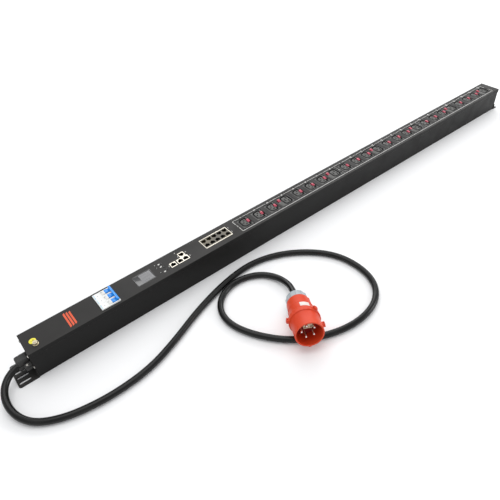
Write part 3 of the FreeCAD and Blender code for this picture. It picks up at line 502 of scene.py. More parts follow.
foot_low = (clamp_back - wing_reach, base_low.y, base_low.z + 0.003)
clamp_base = block("clamp_lower", foot_low, (clamp_back, base_high.y, base_high.z))
nose = block("nose", (base_low.x, -dome_half, base_low.z), (clamp_back, dome_half, base_high.z))
carve(clamp_base, nose, "UNION")
carve(clamp_base, cord_seat())
fit(soften(clamp_base, 0.0009, 3), clamp_nylon, "clamp_nylon", "clamp_base")

clamp_cap = block("clamp_upper", (base_low.x, -dome_half, cap_low.z), (clamp_back, dome_half, cap_high.z))
soften(clamp_cap, 0.0045, 5, 60)
wings_low = (clamp_back - wing_reach, cap_low.y, cap_low.z)
wings = block("wings", wings_low, (clamp_back, cap_high.y, cap_low.z + wing_thick))
soften(wings, 0.0016, 3)
carve(clamp_cap, wings, "UNION")
for step in range(3):
    middle = clamp_back - 0.0075 - step * groove_pitch
    low = (middle - groove_half, -0.02, cap_high.z - groove_depth)
    carve(clamp_cap, block("groove", low, (middle + groove_half, 0.02, cap_high.z + 0.01)))
carve(clamp_cap, block("level", (-2, -1, cap_low.z - 0.02), (2, 1, cap_low.z)))
carve(clamp_cap, cord_seat())
fit(soften(clamp_cap, 0.0003, 2), clamp_nylon, "clamp_nylon", "clamp_cap")

clamp_radius = (heads_high.x - heads_low.x) / 2
clamp_head = pan_head("clamp_head", clamp_radius, heads_high.z - heads_low.z)
clamp_heads = []
for across in (heads_low.y + clamp_radius, heads_high.y - clamp_radius):
    spot = Vector((heads_low.x + clamp_radius, across, heads_low.z))
    clamp_heads.append(copied(clamp_head, f"clamp_screw_{len(clamp_heads) + 1}", spot))
bpy.data.objects.remove(clamp_head)
fit(welded("clamp_screw_heads", clamp_heads), zinc, "zinc_screw", "clamp_screws")

# --- Earth terminal ---------------------------------------------------------------------------------
# A nickel-plated M6 stud that is riveted into the cover, with a flat washer and a hexagon nut for the
# rack's earth lead, and a round yellow sticker with the earth sign beside it.
earth_metal = finish_of(
    "earth_nickel",
    (0.8, 0.74, 0.56),
    0.28,
    (0.55, 0.45, 0.28),
    0.5,
    1500,
    0.00002,
    (0.9, 0.86, 0.74),
    Metallic=1,
)
stud_low, stud_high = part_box("earth_stud")
nut_low, nut_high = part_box("earth_nut")
stud_radius = (stud_high.x - stud_low.x) / 2
stud_middle = (stud_low + stud_high) / 2
thread_pitch, thread_depth, washer_thick = 0.001, 0.0005, 0.001
thread = [(0, stud_low.z), (stud_radius, stud_low.z), (stud_radius, face_top + washer_thick)]
for ridge in range(6):
    foot = face_top + (ridge + 1.5) * thread_pitch
    thread += [(stud_radius - thread_depth, foot), (stud_radius, foot + thread_pitch / 2)]
thread += [(stud_radius - 0.0006, stud_high.z), (0, stud_high.z)]
stud = turned("threaded_stud", thread)
stud.data.transform(Matrix.Translation((stud_middle.x, stud_middle.y, 0)))
fit(soften(stud, 0, 1, 25), earth_metal, "earth_metal", "earth_stud")


def prism(name, corners, bottom, top):
    """An upright prism on an outline of X and Y pairs."""
    bpy.ops.object.select_all(action="DESELECT")
    bpy.ops.mesh.primitive_circle_add(vertices=len(corners), fill_type="NGON")
    raised = bpy.context.object
    raised.name = name
    for vertex, (x, y) in zip(raised.data.vertices, corners):
        vertex.co = (x, y, bottom)
    bpy.ops.object.mode_set(mode="EDIT")
    bpy.ops.mesh.select_all(action="SELECT")
    bpy.ops.mesh.extrude_region_move(TRANSFORM_OT_translate={"value": (0, 0, top - bottom)})
    bpy.ops.mesh.select_all(action="SELECT")
    bpy.ops.mesh.normals_make_consistent(inside=False)
    bpy.ops.object.mode_set(mode="OBJECT")
    return raised


def ring_of(radius, count, middle):
    """Evenly spaced points round a circle, as X and Y pairs."""
    angles = [math.tau * index / count for index in range(count)]
    return [(middle[0] + radius * math.cos(a), middle[1] + radius * math.sin(a)) for a in angles]


stud_spot = (stud_middle.x, stud_middle.y)
washer_top = face_top + washer_thick
nut_radius, nut_height = 0.0057, 0.005
nut = prism("hexagon_nut", ring_of(nut_radius, 6, stud_spot), washer_top, nut_high.z)
crown_section = [
    (0, 0),
    (nut_radius - 0.0006, 0),
    (nut_radius, 0.0008),
    (nut_radius, nut_height - 0.0008),
    (nut_radius - 0.0006, nut_height),
    (0, nut_height),
]
crown = turned("crown", crown_section, 48)
crown.data.transform(Matrix.Translation((*stud_spot, washer_top)))
carve(nut, crown, "INTERSECT")
carve(nut, rod("bore", stud_radius + 0.0001, (*stud_spot, face_top), (*stud_spot, 1)))
washer_radius = (nut_high.x - nut_low.x) / 2
washer_section = [
    (stud_radius + 0.0002, 0),
    (washer_radius - 0.0002, 0),
    (washer_radius, 0.0003),
    (washer_radius, 0.0008),
    (washer_radius - 0.0003, washer_thick),
    (stud_radius + 0.0002, washer_thick),
]
washer = turned("washer", washer_section, 40)
washer.data.transform(Matrix.Translation((*stud_spot, face_top)))
nut_set = welded("earth_nut_and_washer", [soften(nut, 0, 1, 25), washer])
fit(soften(nut_set, 0, 1, 25), earth_metal, "earth_metal", "earth_nut")

sticker_yellow = finish_of(
    "sticker_yellow", (0.86, 0.78, 0.035), 0.35, (0.78, 0.66, 0.1), 0.5, 1800, 0.00001, Coat_Weight=0.3
)
sticker_spot = (stud_middle.x - 0.003, stud_middle.y + 0.0117)
sticker_radius, sticker_top = 0.0075, face_top + 0.00015
sticker = prism("earth_sticker", ring_of(sticker_radius, 48, sticker_spot), face_top - 0.0001, sticker_top)
fit(soften(sticker, 0.00006, 2), sticker_yellow, "earth_metal")

print_black = finish_of("print_black", (0.02, 0.02, 0.02), 0.55, grain=2500, depth=0.00001)
sign_x, sign_y = sticker_spot
sign_low, sign_high, line = sticker_top - 0.00005, sticker_top + 0.00005, 0.0006
sign = []
for rung, half in enumerate((0.0036, 0.0024, 0.0011)):
    x = sign_x + 0.0008 + rung * 0.0014
    sign.append(block("rung", (x, sign_y - half, sign_low), (x + line, sign_y + half, sign_high)))
low = (sign_x - 0.0042, sign_y - line / 2, sign_low)
sign.append(block("stem", low, (sign_x + 0.0009, sign_y + line / 2, sign_high)))
fit(welded("earth_sign", sign), print_black, "earth_metal")

# --- Maker's mark -----------------------------------------------------------------------------------
# A plain sign of three slanted bars, silk-screened on the cover in orange-red ink between the earth
# terminal and the breaker.
mark_red = finish_of("mark_ink", (0.72, 0.1, 0.035), 0.5, (0.6, 0.07, 0.02), 0.6, 1600, 0.00002)
mark_start, bar_pitch, bar_width, bar_slant, bar_step = case_start + 0.0965, 0.0062, 0.0042, 0.003, 0.001
bars = []
for bar in range(3):
    left, foot, head = mark_start + bar * bar_pitch, -0.0235 + bar * bar_step, 0.0245 - bar * bar_step
    right = left + bar_width
    corners = [(left, foot), (right, foot + bar_slant), (right, head), (left, head - bar_slant)]
    bars.append(prism("mark_bar", corners, face_top - 0.0001, face_top + 0.00012))
fit(soften(welded("plain_mark", bars), 0.00004, 1), mark_red, "case_steel")

# --- Circuit breaker --------------------------------------------------------------------------------
# Three single-pole breakers clipped side by side on a top-hat rail. Each has a moulded white housing
# with a shoulder at each end, a terminal hole in each shoulder and a slot that its toggle drum fills.
breaker_white = finish_of(
    "breaker_white", (0.83, 0.84, 0.82), 0.38, (0.6, 0.58, 0.5), 0.25, 1300, 0.00003, (0.9, 0.9, 0.88)
)
poles_low, poles_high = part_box("breaker_poles")
axis_x, axis_z = case_start + 0.198, 0.065
pole_pitch, pole_width = 0.0177, 0.0175
breaker_x = (poles_low.x + poles_high.x) / 2
nose_half, shoulder_z = 0.0222, 0.054
room_half, room_radius = 0.0061, 0.0156
pole_profile = [
    (poles_low.x, poles_low.z),
    (poles_high.x, poles_low.z),
    (poles_high.x, shoulder_z),
    (breaker_x + nose_half, shoulder_z),
    (breaker_x + nose_half, poles_high.z),
    (breaker_x - nose_half, poles_high.z),
    (breaker_x - nose_half, shoulder_z),
    (poles_low.x, shoulder_z),
]
pole = prism("pole_blank", pole_profile, -pole_width / 2, pole_width / 2)
pole.data.transform(Matrix.Rotation(math.radians(90), 4, "X"))
carve(pole, rod("drum_room", room_radius, (axis_x, -room_half, axis_z), (axis_x, room_half, axis_z), 64))
window_half, window_side = 0.0114, room_half + 0.0001
low = (axis_x - window_half, -window_side, axis_z + 0.0098)
carve(pole, block("toggle_window", low, (axis_x + window_half, window_side, axis_z + 0.03)))
terminal_radius, terminal_depth, terminal_out = 0.0032, 0.008, 0.0315
for x in (breaker_x - terminal_out, breaker_x + terminal_out):
    foot, mouth = (x, 0, shoulder_z - terminal_depth), (x, 0, shoulder_z + 0.01)
    carve(pole, rod("terminal", terminal_radius, foot, mouth, 24))
label_edge = 0.0012
low = (breaker_x - nose_half + 0.0052, label_edge - pole_width / 2, poles_high.z - 0.0003)
high = (axis_x - window_half - label_edge, pole_width / 2 - label_edge, poles_high.z + 0.001)
carve(pole, block("label_bed", low, high))
soften(pole, 0.0004, 2)
poles = [copied(pole, f"pole_{row}", (0, row * pole_pitch, 0)) for row in (-1, 0, 1)]
bpy.data.objects.remove(pole)
fit(welded("breaker_housings", poles), breaker_white, "breaker_white", "breaker_poles")

# The printing on the noses: a pale blue and green band of plain ticks along the edge, and one test dot
# on each pole.
pale_blue = finish_of("print_pale_blue", (0.28, 0.5, 0.72), 0.5, (0.4, 0.6, 0.62), 0.6, 1500, 0.00001)
pale_green = finish_of("print_pale_green", (0.45, 0.66, 0.55), 0.5, (0.6, 0.72, 0.6), 0.6, 1500, 0.00001)
dot_grey = finish_of("print_dot", (0.3, 0.28, 0.27), 0.5, (0.4, 0.32, 0.3), 0.6, 1500, 0.00001)
ink_low, ink_high = poles_high.z - 0.0002, poles_high.z + 0.00008
tick_start, first_tick, tick_pitch, tick_width = breaker_x - nose_half + 0.0011, -0.0068, 0.0029, 0.0017
dot_x, dot_radius = breaker_x - nose_half + 0.0098, 0.001
blue_ticks, green_ticks, dots = [], [], []
for row in (-1, 0, 1):
    for tick, length in enumerate((0.0026, 0.0034, 0.0022, 0.0031, 0.0027)):
        near = row * pole_pitch + first_tick + tick * tick_pitch
        ticks = green_ticks if (tick + row) % 3 == 0 else blue_ticks
        high = (tick_start + length, near + tick_width, ink_high)
        ticks.append(block("tick", (tick_start, near, ink_low), high))
    spot = (dot_x, row * pole_pitch - 0.0005)
    dots.append(prism("dot", ring_of(dot_radius, 16, spot), poles_high.z - 0.0006, poles_high.z - 0.0001))
fit(welded("breaker_print_blue", blue_ticks), pale_blue, "breaker_white")
fit(welded("breaker_print_green", green_ticks), pale_green, "breaker_white")
fit(welded("breaker_test_dots", dots), dot_grey, "breaker_white")

# Breaker toggle: three white drums on one axle, each with a blue lever on a blue sector, and the blue
# bar that ties the levers so that the three poles trip together.
toggle_blue = finish_of(
    "toggle_blue",
    (0.008, 0.26, 0.78),
    0.28,
    (0.03, 0.34, 0.82),
    0.35,
    1500,
    0.00002,
    (0.1, 0.4, 0.9),
    Coat_Weight=0.3,
)
toggle_low, toggle_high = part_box("breaker_toggle")
drum_radius, drum_half = 0.015, 0.0055
bar_foot, bar_tip, lever_tip = 0.0172, 0.0215, 0.0205
lever_from, lever_to, sector_from, sector_to = 50, 62, 48, 102


def across_poles(name, corners, half, middle):
    """A piece on an outline round the toggle's axle, as radius and angle pairs, across a stretch of Y."""
    outline = [
        (axis_x + radius * math.cos(math.radians(angle)), -axis_z - radius * math.sin(math.radians(angle)))
        for radius, angle in corners
    ]
    made = prism(name, outline, middle - half, middle + half)
    made.data.transform(Matrix.Rotation(math.radians(-90), 4, "X"))
    return made


bar_corners = [(bar_foot, lever_from), (bar_tip, 48), (bar_tip, 57), (bar_tip, 66), (bar_foot, lever_to)]
tie_bar = across_poles("tie_bar", bar_corners, (toggle_high.y - toggle_low.y) / 2, 0)
levers, drums = [soften(tie_bar, 0.0009, 3)], []
for row in (-1, 0, 1):
    middle = row * pole_pitch
    root = drum_radius - 0.003
    lever = [(root, lever_from), (lever_tip, lever_from), (lever_tip, lever_to), (root, lever_to)]
    levers.append(soften(across_poles("lever", lever, drum_half - 0.0004, middle), 0.0006, 2))
    sector = [(drum_radius + 0.0001, angle) for angle in range(sector_from, sector_to + 1, 6)]
    sector = [(0.011, sector_from)] + sector + [(0.011, sector_to)]
    levers.append(soften(across_poles("sector", sector, drum_half - 0.0002, middle), 0.0003, 1, 50))
    ends = [(axis_x, middle + side * (drum_half - 0.0004), axis_z) for side in (-1, 1)]
    drums.append(soften(rod("drum", drum_radius - 0.0002, *ends, 96), 0.0005, 2, 60))
fit(welded("toggle_bar", levers), toggle_blue, "toggle_blue", "breaker_toggle", body="breaker_toggle")
fit(welded("toggle_drums", drums), breaker_white, "toggle_blue", body="breaker_toggle")
paint(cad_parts["breaker_rail"], zinc)

# --- Display ----------------------------------------------------------------------------------------
# A smoked acrylic pane pressed into the cover, with a bevelled rim, over a grey liquid-crystal module
# that sits behind it on the controller board.
pane_low, pane_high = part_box("display_window")
pane_paint = finish_of(
    "smoked_pane", (0.035, 0.035, 0.036), 0.12, (0.06, 0.06, 0.06), 0.4, 1500, 0.000004, Coat_Weight=0.6
)
pane = block("display_pane", pane_low, pane_high)
bpy.ops.object.mode_set(mode="EDIT")
bpy.ops.mesh.select_all(action="DESELECT")
bpy.ops.object.mode_set(mode="OBJECT")
for face in pane.data.polygons:
    face.select = face.normal.z > 0.9
bpy.ops.object.mode_set(mode="EDIT")
bpy.ops.mesh.select_mode(type="FACE")
bpy.ops.mesh.inset(thickness=0.0012, depth=-0.0002)
bpy.ops.object.mode_set(mode="OBJECT")
fit(soften(pane, 0.0002, 2), pane_paint, "display_pane", "display_window")

glass_grey = finish_of(
    "crystal_grey", (0.2, 0.2, 0.205), 0.22, (0.24, 0.24, 0.24), 0.5, 1800, 0.000004, Coat_Weight=0.5
)
segment_ink = finish_of("segment_ink", (0.075, 0.077, 0.08), 0.4, grain=1800, depth=0.000004)
crystal_low = Vector((pane_low.x + 0.0145, pane_low.y + 0.0032, pane_high.z - 0.0003))
crystal_high = Vector((pane_high.x - 0.0022, pane_high.y - 0.0026, pane_high.z + 0.00005))
fit(soften(block("display_glass", crystal_low, crystal_high), 0.00006, 1), glass_grey, "display_pane")
digit_pitch, line_pitch, digit_wide, digit_tall, bar_thin = 0.0056, 0.0086, 0.0028, 0.0048, 0.0004
digit_bars = ((0, bar_thin, digit_tall), (digit_wide, bar_thin, digit_tall), (0, 0.003, bar_thin))
segments = []
crystal_middle = (crystal_low + crystal_high) / 2
for line in range(3):
    for digit in range(3 if line == 2 else 4):
        x = crystal_low.x + 0.004 + digit * digit_pitch
        y = crystal_middle.y + (1 - line) * line_pitch - digit_tall / 2
        for across, wide, tall in digit_bars:
            low = (x + across, y, crystal_high.z - 0.00005)
            segments.append(block("segment", low, (low[0] + wide, y + tall, crystal_high.z + 0.00003)))
fit(welded("display_segments", segments), segment_ink, "display_pane")

module_grey = finish_of("module_grey", (0.09, 0.09, 0.095), 0.5, (0.2, 0.19, 0.17), 0.3, 1200, 0.00003)
board_green = finish_of(
    "board_lacquer", (0.012, 0.09, 0.035), 0.3, (0.1, 0.16, 0.06), 0.4, 700, 0.00004, Coat_Weight=0.4
)
paint(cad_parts["display_module"], module_grey)
paint(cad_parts["controller_board"], board_green)

# --- Status lights ----------------------------------------------------------------------------------
# Three clear light pipes with domed heads that carry the board's lamps up to the cover, each with two
# printed dashes beside it.
print_white = finish_of("print_white", (0.8, 0.79, 0.76), 0.55, (0.6, 0.59, 0.55), 0.5, 2200, 0.00001)
lens_clear = finish_of(
    "light_lens", (0.9, 0.91, 0.9), 0.2, (0.75, 0.77, 0.75), 0.4, 1500, 0.000005, Coat_Weight=0.4
)
light_low, light_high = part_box("indicator_lights")
light_radius = (light_high.x - light_low.x) / 2
light_x = (light_low.x + light_high.x) / 2
light_rows = (light_high.y - light_radius, light_high.y - light_radius - 0.0102, light_low.y + light_radius)
dash_start, dash_width, printed = light_x + 0.0068, 0.0014, 0.00008
pipes, dashes = [], []
for across in light_rows:
    dome = [(1, 0), (1, 0.82), (0.85, 0.9), (0.5, 0.97), (0, 1), (0, 0)]
    tall = light_high.z - light_low.z
    pipe = turned("light_pipe", [(light_radius * out, light_low.z + tall * up) for out, up in dome], 24)
    pipe.data.transform(Matrix.Translation((light_x, across, 0)))
    pipes.append(soften(pipe))
    for length, offset in ((0.0052, -0.0037), (0.0036, -0.0055)):
        low = (dash_start, across + offset, face_top - 0.0001)
        dashes.append(block("dash", low, (dash_start + length, low[1] + dash_width, face_top + printed)))
fit(welded("light_pipes", pipes), lens_clear, "light_lens", "indicator_lights")
fit(welded("light_labels", dashes), print_white, "case_steel")

# --- Menu buttons -----------------------------------------------------------------------------------
# Three black button caps in moulded nylon that press on switches on the board. Each has rounded
# corners and a top that is dished for the fingertip.
button_black = finish_of(
    "button_black", (0.009, 0.009, 0.01), 0.38, (0.03, 0.03, 0.03), 0.5, 1500, 0.00002, (0.05, 0.05, 0.05)
)
dish_radius, dish_depth = 0.007, 0.0003
for name in ("button_far", "button_middle", "button_near"):
    low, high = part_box(name)
    cap = block(name + "_cap", low, high)
    soften(cap, 0.0008, 3, 60)
    over = (*((low + high) / 2).xy, high.z + dish_radius - dish_depth)
    bpy.ops.object.select_all(action="DESELECT")
    bpy.ops.mesh.primitive_uv_sphere_add(segments=32, ring_count=16, radius=dish_radius, location=over)
    carve(cap, bpy.context.object)
    fit(soften(cap, 0.00012, 1, 50), button_black, "button_black", name, body=name)

# --- Network jacks ----------------------------------------------------------------------------------
# Shielded 8-way jacks soldered to the board: tinned shells round black liners, with a stepped mouth
# for the latch and eight gold contact wires in each. Ten more make a block of two rows.
tin_bright = finish_of(
    "tinned_shell",
    (0.86, 0.81, 0.7),
    0.36,
    (0.6, 0.55, 0.45),
    0.4,
    1500,
    0.00002,
    (0.95, 0.92, 0.85),
    Metallic=0.55,
)
liner_black = finish_of("jack_liner", (0.008, 0.008, 0.008), 0.6, (0.02, 0.02, 0.02), 0.4, 1500, 0.00002)
band_grey = finish_of("jack_band", (0.11, 0.1, 0.08), 0.5, (0.26, 0.23, 0.17), 0.7, 500, 0.00003)
gold = finish_of("contact_gold", (0.75, 0.5, 0.16), 0.25, (0.5, 0.3, 0.1), 0.4, 1500, 0.00001, Metallic=1)
jacks_low, jacks_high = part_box("network_jacks")
block_low, block_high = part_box("jack_block")
jack_side, jack_depth, jack_pitch, wire_pitch = 0.0158, 0.013, 0.0156, 0.00102


def mouth_outline(x, y, latch, spare=0):
    """The stepped outline of a jack's mouth, its latch notch on the +Y or the -Y side."""
    steps = [(0.00585, -0.004), (0.00585, 0.004), (0.0032, 0.004)]
    steps += [(0.0032, 0.0055), (0.0016, 0.0055), (0.0016, 0.0068)]
    half = [(across + spare, up + (spare if up > 0 else -spare)) for across, up in steps]
    both = half + [(-across, up) for across, up in reversed(half)]
    return [(x + across, y + latch * up) for across, up in both]


def jack_wires(x, y, latch):
    """Eight contact wires that slope down from the mouth's flat side."""
    wires = []
    for wire in range(8):
        across = x + (wire - 3.5) * wire_pitch
        top = (across, y - latch * 0.0034, jacks_high.z - 0.0035)
        foot = (across, y + latch * 0.0012, jacks_high.z - jack_depth + 0.001)
        wires.append(rod("wire", 0.00022, top, foot, 6))
    return wires


def jack_shell(name, low, high, mouths):
    """One shell with its mouths, lined in black, and the wires in them."""
    shell = block(name, low, high)
    floor, above = high.z - jack_depth, high.z + 0.002
    liners, wires = [], []
    for x, y, latch in mouths:
        carve(shell, prism("hollow", mouth_outline(x, y, latch, 0.0003), floor - 0.0005, above))
        dark_lining = prism("dark_lining", mouth_outline(x, y, latch, 0.00029), floor - 0.0005, high.z - 0.0003)
        hollow = prism("hollow", mouth_outline(x, y, latch), floor, above)
        liners.append(carve(dark_lining, hollow))
        wires += jack_wires(x, y, latch)
    return soften(shell, 0.0003, 2), liners, wires


shells, liners, wires = [], [], []
near_row, far_row = jacks_low.y + jack_side / 2, jacks_high.y - jack_side / 2
near_x, far_x, twin_x = case_start + 0.359, case_start + 0.3914, case_start + 0.386
half, twin_half, mouth_shift = jack_side / 2, (jack_side - 0.0008) / 2, 0.001
twin_mouths = [(twin_x + side * twin_half, near_row - mouth_shift, 1) for side in (-1, 1)]
for x, row, half_length, mouths in (
    (near_x, near_row, half, [(near_x, near_row - mouth_shift, 1)]),
    (far_x, far_row, half, [(far_x, far_row + mouth_shift, -1)]),
    (twin_x, near_row, jack_side, twin_mouths),
):
    low = Vector((x - half_length, row - half, jacks_low.z))
    high = Vector((x + half_length, row + half, jacks_high.z))
    shell, lined, wired = jack_shell("jack_shell", low, high, mouths)
    shells.append(shell)
    liners += lined
    wires += wired
fit(welded("jack_shells", shells), tin_bright, "jack_metal", "network_jacks")

block_middle = (block_low + block_high) / 2
block_mouths = []
for row in (-1, 1):
    for column in range(-2, 3):
        spot = (block_middle.x + column * jack_pitch, block_middle.y + row * 0.0089)
        block_mouths.append((*spot, -row))
block_shell, block_liners, block_wires = jack_shell("block_shell", block_low, block_high, block_mouths)
liners += block_liners
wires += block_wires
fit(block_shell, tin_bright, "jack_metal", "jack_block")
fit(welded("jack_liners", liners), liner_black, "jack_metal")
fit(welded("jack_wires", wires), gold, "jack_metal")

# The block's face plate: the dark moulding between the mouths, inside the bright shell's rim.
end_rim, side_rim, face = 0.0014, 0.0022, block_high.z
low = (block_low.x + end_rim, block_low.y + side_rim, face - 0.001)
bridge = block("block_face", low, (block_high.x - end_rim, block_high.y - side_rim, face + 0.0001))
for x, y, latch in block_mouths:
    carve(bridge, prism("notch", mouth_outline(x, y, latch, 0.0001), face - 0.01, face + 0.01))
fit(soften(bridge, 0.0001, 1), band_grey, "jack_metal")

# Rows of three slanting ticks printed beside the jacks, in white.
label_spots = [(0.3475, -0.008), (0.4057, -0.0083), (0.3805, 0.022), (0.3805, 0.007), (0.4043, 0.0098)]
label_spots += [(0.5325, -0.0065), (0.5325, 0.0105)]
tick_side, tick_pitch, tick_slant = 0.0011, 0.0016, 0.0003
jack_labels = []
for x, y in label_spots:
    for tick in range(3):
        left, near = case_start + x - tick_side / 2 + tick * tick_slant, y - 0.0019 + tick * tick_pitch
        high = (left + tick_side, near + tick_side, face_top + printed)
        jack_labels.append(block("tick", (left, near, face_top - 0.0001), high))
fit(welded("jack_labels", jack_labels), print_white, "case_steel")

# --- Outlets ----------------------------------------------------------------------------------------
# Twenty-four moulded nylon outlets, snapped into the cover: after every three small sockets comes a
# large one. A deep groove runs round each core, and the core has three slots over its contacts. Black
# strips of painted shadow lie round each moulding and line each groove.
outlet_nylon = finish_of(
    "outlet_nylon",
    (0.062, 0.061, 0.057),
    0.42,
    (0.085, 0.083, 0.076),
    0.5,
    1300,
    0.00003,
    (0.09, 0.09, 0.085),
)
outlet_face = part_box("small_outlets")[1].z
near_side, far_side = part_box("small_outlets")[0].y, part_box("small_outlets")[1].y
socket_depth, socket_gap, outlet_depth = 0.017, 0.0028, 0.032
seat_half, seat_depth = 0.0053, 0.0032
rim_width, frame_width, lead_in, lead_depth = 0.0016, 0.0019, 0.0005, 0.0007


def core_outline(half_length, half_width, corner, both_ends):
    """A socket's core seen from above: corners cut off on the -X side, or on both."""
    along, across = half_length - corner, half_width - corner
    left = [(-half_length, across), (-half_length, -across), (-along, -half_width)]
    right = [(half_length, -half_width), (half_length, half_width)]
    if both_ends:
        right = [(along, -half_width), (half_length, -across), (half_length, across), (along, half_width)]
    return left + right + [(-along, half_width)]


def frame_outline(before, after, inside):
    """The outlet's own edge, or a line that far inside it."""
    left, right, near, far = inside - before, after - inside, near_side + inside, far_side - inside
    return [(left, near), (right, near), (right, far), (left, far)]


def seal(name, outer, inner, bottom, top, room=None):
    """A black strip of painted shadow between two outlines, open where the tab moves."""
    strip = prism(name, outer, bottom, top)
    carve(strip, prism("inside", inner, bottom - 0.01, top + 0.01))
    if room:
        carve(strip, block("tab_room", *room))
    return strip


def outlet(name, before, after, core, both_ends, slots, slot_size, tab_from, tab_to, tab_across):
    """One outlet with its socket's middle on the origin and its face at height 0, and its strips of painted
    shadow.
    """

    def grown(step):
        """The groove's outer outline, moved out by a step."""
        half_length, half_width, corner = core
        wide = (half_length + socket_gap + step, half_width + socket_gap + step)
        return core_outline(*wide, corner + socket_gap / 2 + min(step, 0), both_ends)

    near, far = tab_across - seat_half, tab_across + seat_half
    room = ((tab_from, near, -0.012), (tab_to, far, 0.01))
    shallow = ((tab_from, near, -seat_depth), (tab_to, far, 0.01))
    shell = block(name, (-before, near_side, -outlet_depth), (after, far_side, 0))
    carve(shell, prism("well", grown(0), -socket_depth, 0.01))
    carve(shell, block("tab_seat", *shallow))
    # Painted shadow: near-black strips at the groove's mouth, down both its walls and in a band round the
    # moulding's edge, where the gaps and the deep groove are in shade.
    rim = seal("rim", grown(rim_width), grown(0), -0.001, 0.0005, room)
    dark_lining = seal("dark_lining", grown(-0.0001), grown(-0.0004), -socket_depth, -0.0006, shallow)
    outside = core_outline(*[size + 0.0002 for size in core], both_ends)
    inside = core_outline(*[size - 0.0001 for size in core], both_ends)
    core_wall_shade = seal("core_wall_shade", outside, inside, -socket_depth, -0.0009)
    edge = frame_outline(before, after, 0)
    edge_shade = seal("edge_shade", edge, frame_outline(before, after, frame_width), -0.002, 0.0003, room)
    centre = prism("core", core_outline(*core, both_ends), -socket_depth - 0.0004, -0.0003)
    soften(centre, 0.0005, 2)
    long_half, wide_half = slot_size[0] / 2, slot_size[1] / 2
    for x, y in slots:
        for piece in (centre, shell):
            low = (x - long_half, y - wide_half, -0.04)
            carve(piece, block("slot", low, (x + long_half, y + wide_half, 0.01)))
        low = (x - long_half - lead_in, y - wide_half - lead_in, -lead_depth)
        carve(centre, block("lead_in", low, (x + long_half + lead_in, y + wide_half + lead_in, 0.01)))
    body = welded(name, [soften(shell, 0.0004, 2), soften(centre)])
    return body, welded(name + "_trim", [soften(rim, 0.00015, 1), soften(edge_shade, 0.00015, 1), dark_lining, core_wall_shade])


small_outlet, small_shadows = outlet(
    "small_outlet",
    before=0.0165,
    after=0.0175,
    core=(0.0082, 0.012, 0.0046),
    both_ends=False,
    slots=((0.002, -0.007), (0.002, 0.007), (-0.003, 0)),
    slot_size=(0.0046, 0.0026),
    tab_from=0.0073,
    tab_to=0.0169,
    tab_across=0,
)
large_outlet, large_shadows = outlet(
    "large_outlet",
    before=0.0275,
    after=0.0175,
    core=(0.0094, 0.0128, 0.003),
    both_ends=True,
    slots=((0.004, -0.0065), (0.004, 0.0065), (-0.004, 0)),
    slot_size=(0.0026, 0.0084),
    tab_from=-0.0249,
    tab_to=-0.0153,
    tab_across=0.008,
)

# Lock tabs: a red acetal latch beside each socket, with a ramped, ribbed head for the thumb. Pushed
# aside, it lets the plug out.
tab_red = finish_of(
    "tab_red",
    (0.42, 0.014, 0.05),
    0.25,
    (0.62, 0.1, 0.17),
    0.5,
    1400,
    0.00002,
    (0.8, 0.28, 0.36),
    Coat_Weight=0.5,
)
tab_reach, tab_half, tab_foot, ramp_foot, ramp_slope = 0.005, 0.0032, 0.003, 0.0006, 0.3
tab_outline = [(-tab_reach, -tab_foot), (tab_reach, -tab_foot), (tab_reach, 0.0021)]
tab_outline += [(0.0045, 0.0026), (0.0016, 0.0026), (-tab_reach, ramp_foot)]
tab_start = prism("tab_blank", tab_outline, -tab_half, tab_half)
upright = Matrix(((0, 0, 1, 0), (1, 0, 0, 0), (0, 1, 0, 0), (0, 0, 0, 1)))
tab_start.data.transform(upright)
groove_long, groove_wide, groove_pitch, groove_deep = 0.0022, 0.0006, 0.0015, 0.0003
for groove in range(3):
    across = -0.003 + groove * groove_pitch
    top = ramp_foot + (across + tab_reach) * ramp_slope
    low = (-groove_long, across, top - groove_deep)
    carve(tab_start, block("groove", low, (groove_long, across + groove_wide, top + 0.004)))
soften(tab_start, 0.0003, 2)

sockets, small_set, large_set, shadow_sets = [], [], [], []
for index in range(1, 25):
    name = f"lock_tab_{index:02d}"
    low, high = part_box(name)
    middle = (low + high) / 2
    is_large = index % 4 == 0
    from_tab = 0.019 if is_large else -0.011
    spot = Vector((middle.x + from_tab, 0, outlet_face))
    sockets.append(spot.x)
    master, group = (large_outlet, large_set) if is_large else (small_outlet, small_set)
    group.append(copied(master, f"outlet_{index:02d}", spot))
    shadow_sets.append(copied(large_shadows if is_large else small_shadows, f"trim_{index:02d}", spot))
    tab = copied(tab_start, name + "_latch", Vector((middle.x, middle.y, outlet_face)))
    fit(tab, tab_red, "tab_red", name, body=name)
for started in (small_outlet, large_outlet, small_shadows, large_shadows, tab_start):
    bpy.data.objects.remove(started)
fit(welded("small_outlet_mouldings", small_set), outlet_nylon, "outlet_nylon", "small_outlets")
fit(welded("large_outlet_mouldings", large_set), outlet_nylon, "outlet_nylon", "large_outlets")
# Painted shadow: the near-black of the strips in the outlets' gaps and grooves.
trim_black = finish_of("trim_black", (0.006, 0.006, 0.006), 0.55, (0.015, 0.015, 0.015), 0.4, 1500, 0.00002)
fit(welded("outlet_painted_shadows", shadow_sets), trim_black, "outlet_nylon")

# --- Bars and contacts ------------------------------------------------------------------------------
# Inside: brass contacts under every slot, four copper power bars and an earth bar on edge, held in
# moulded combs that stand on the tray.
copper = finish_of(
    "copper_bar", (0.75, 0.32, 0.17), 0.3, (0.3, 0.12, 0.07), 0.6, 1200, 0.00003, (0.9, 0.5, 0.33), Metallic=1
)
brass = finish_of("brass_contact", (0.7, 0.5, 0.2), 0.32, (0.4, 0.25, 0.1), 0.5, 1500, 0.00002, Metallic=1)
comb_nylon = finish_of("comb_nylon", (0.45, 0.42, 0.35), 0.5, (0.3, 0.26, 0.2), 0.4, 1200, 0.00003)
paint(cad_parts["outlet_contacts"], brass)
paint(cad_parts["power_bars"], copper)
paint(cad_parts["earth_bar"], copper)
paint(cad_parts["bar_supports"], comb_nylon)

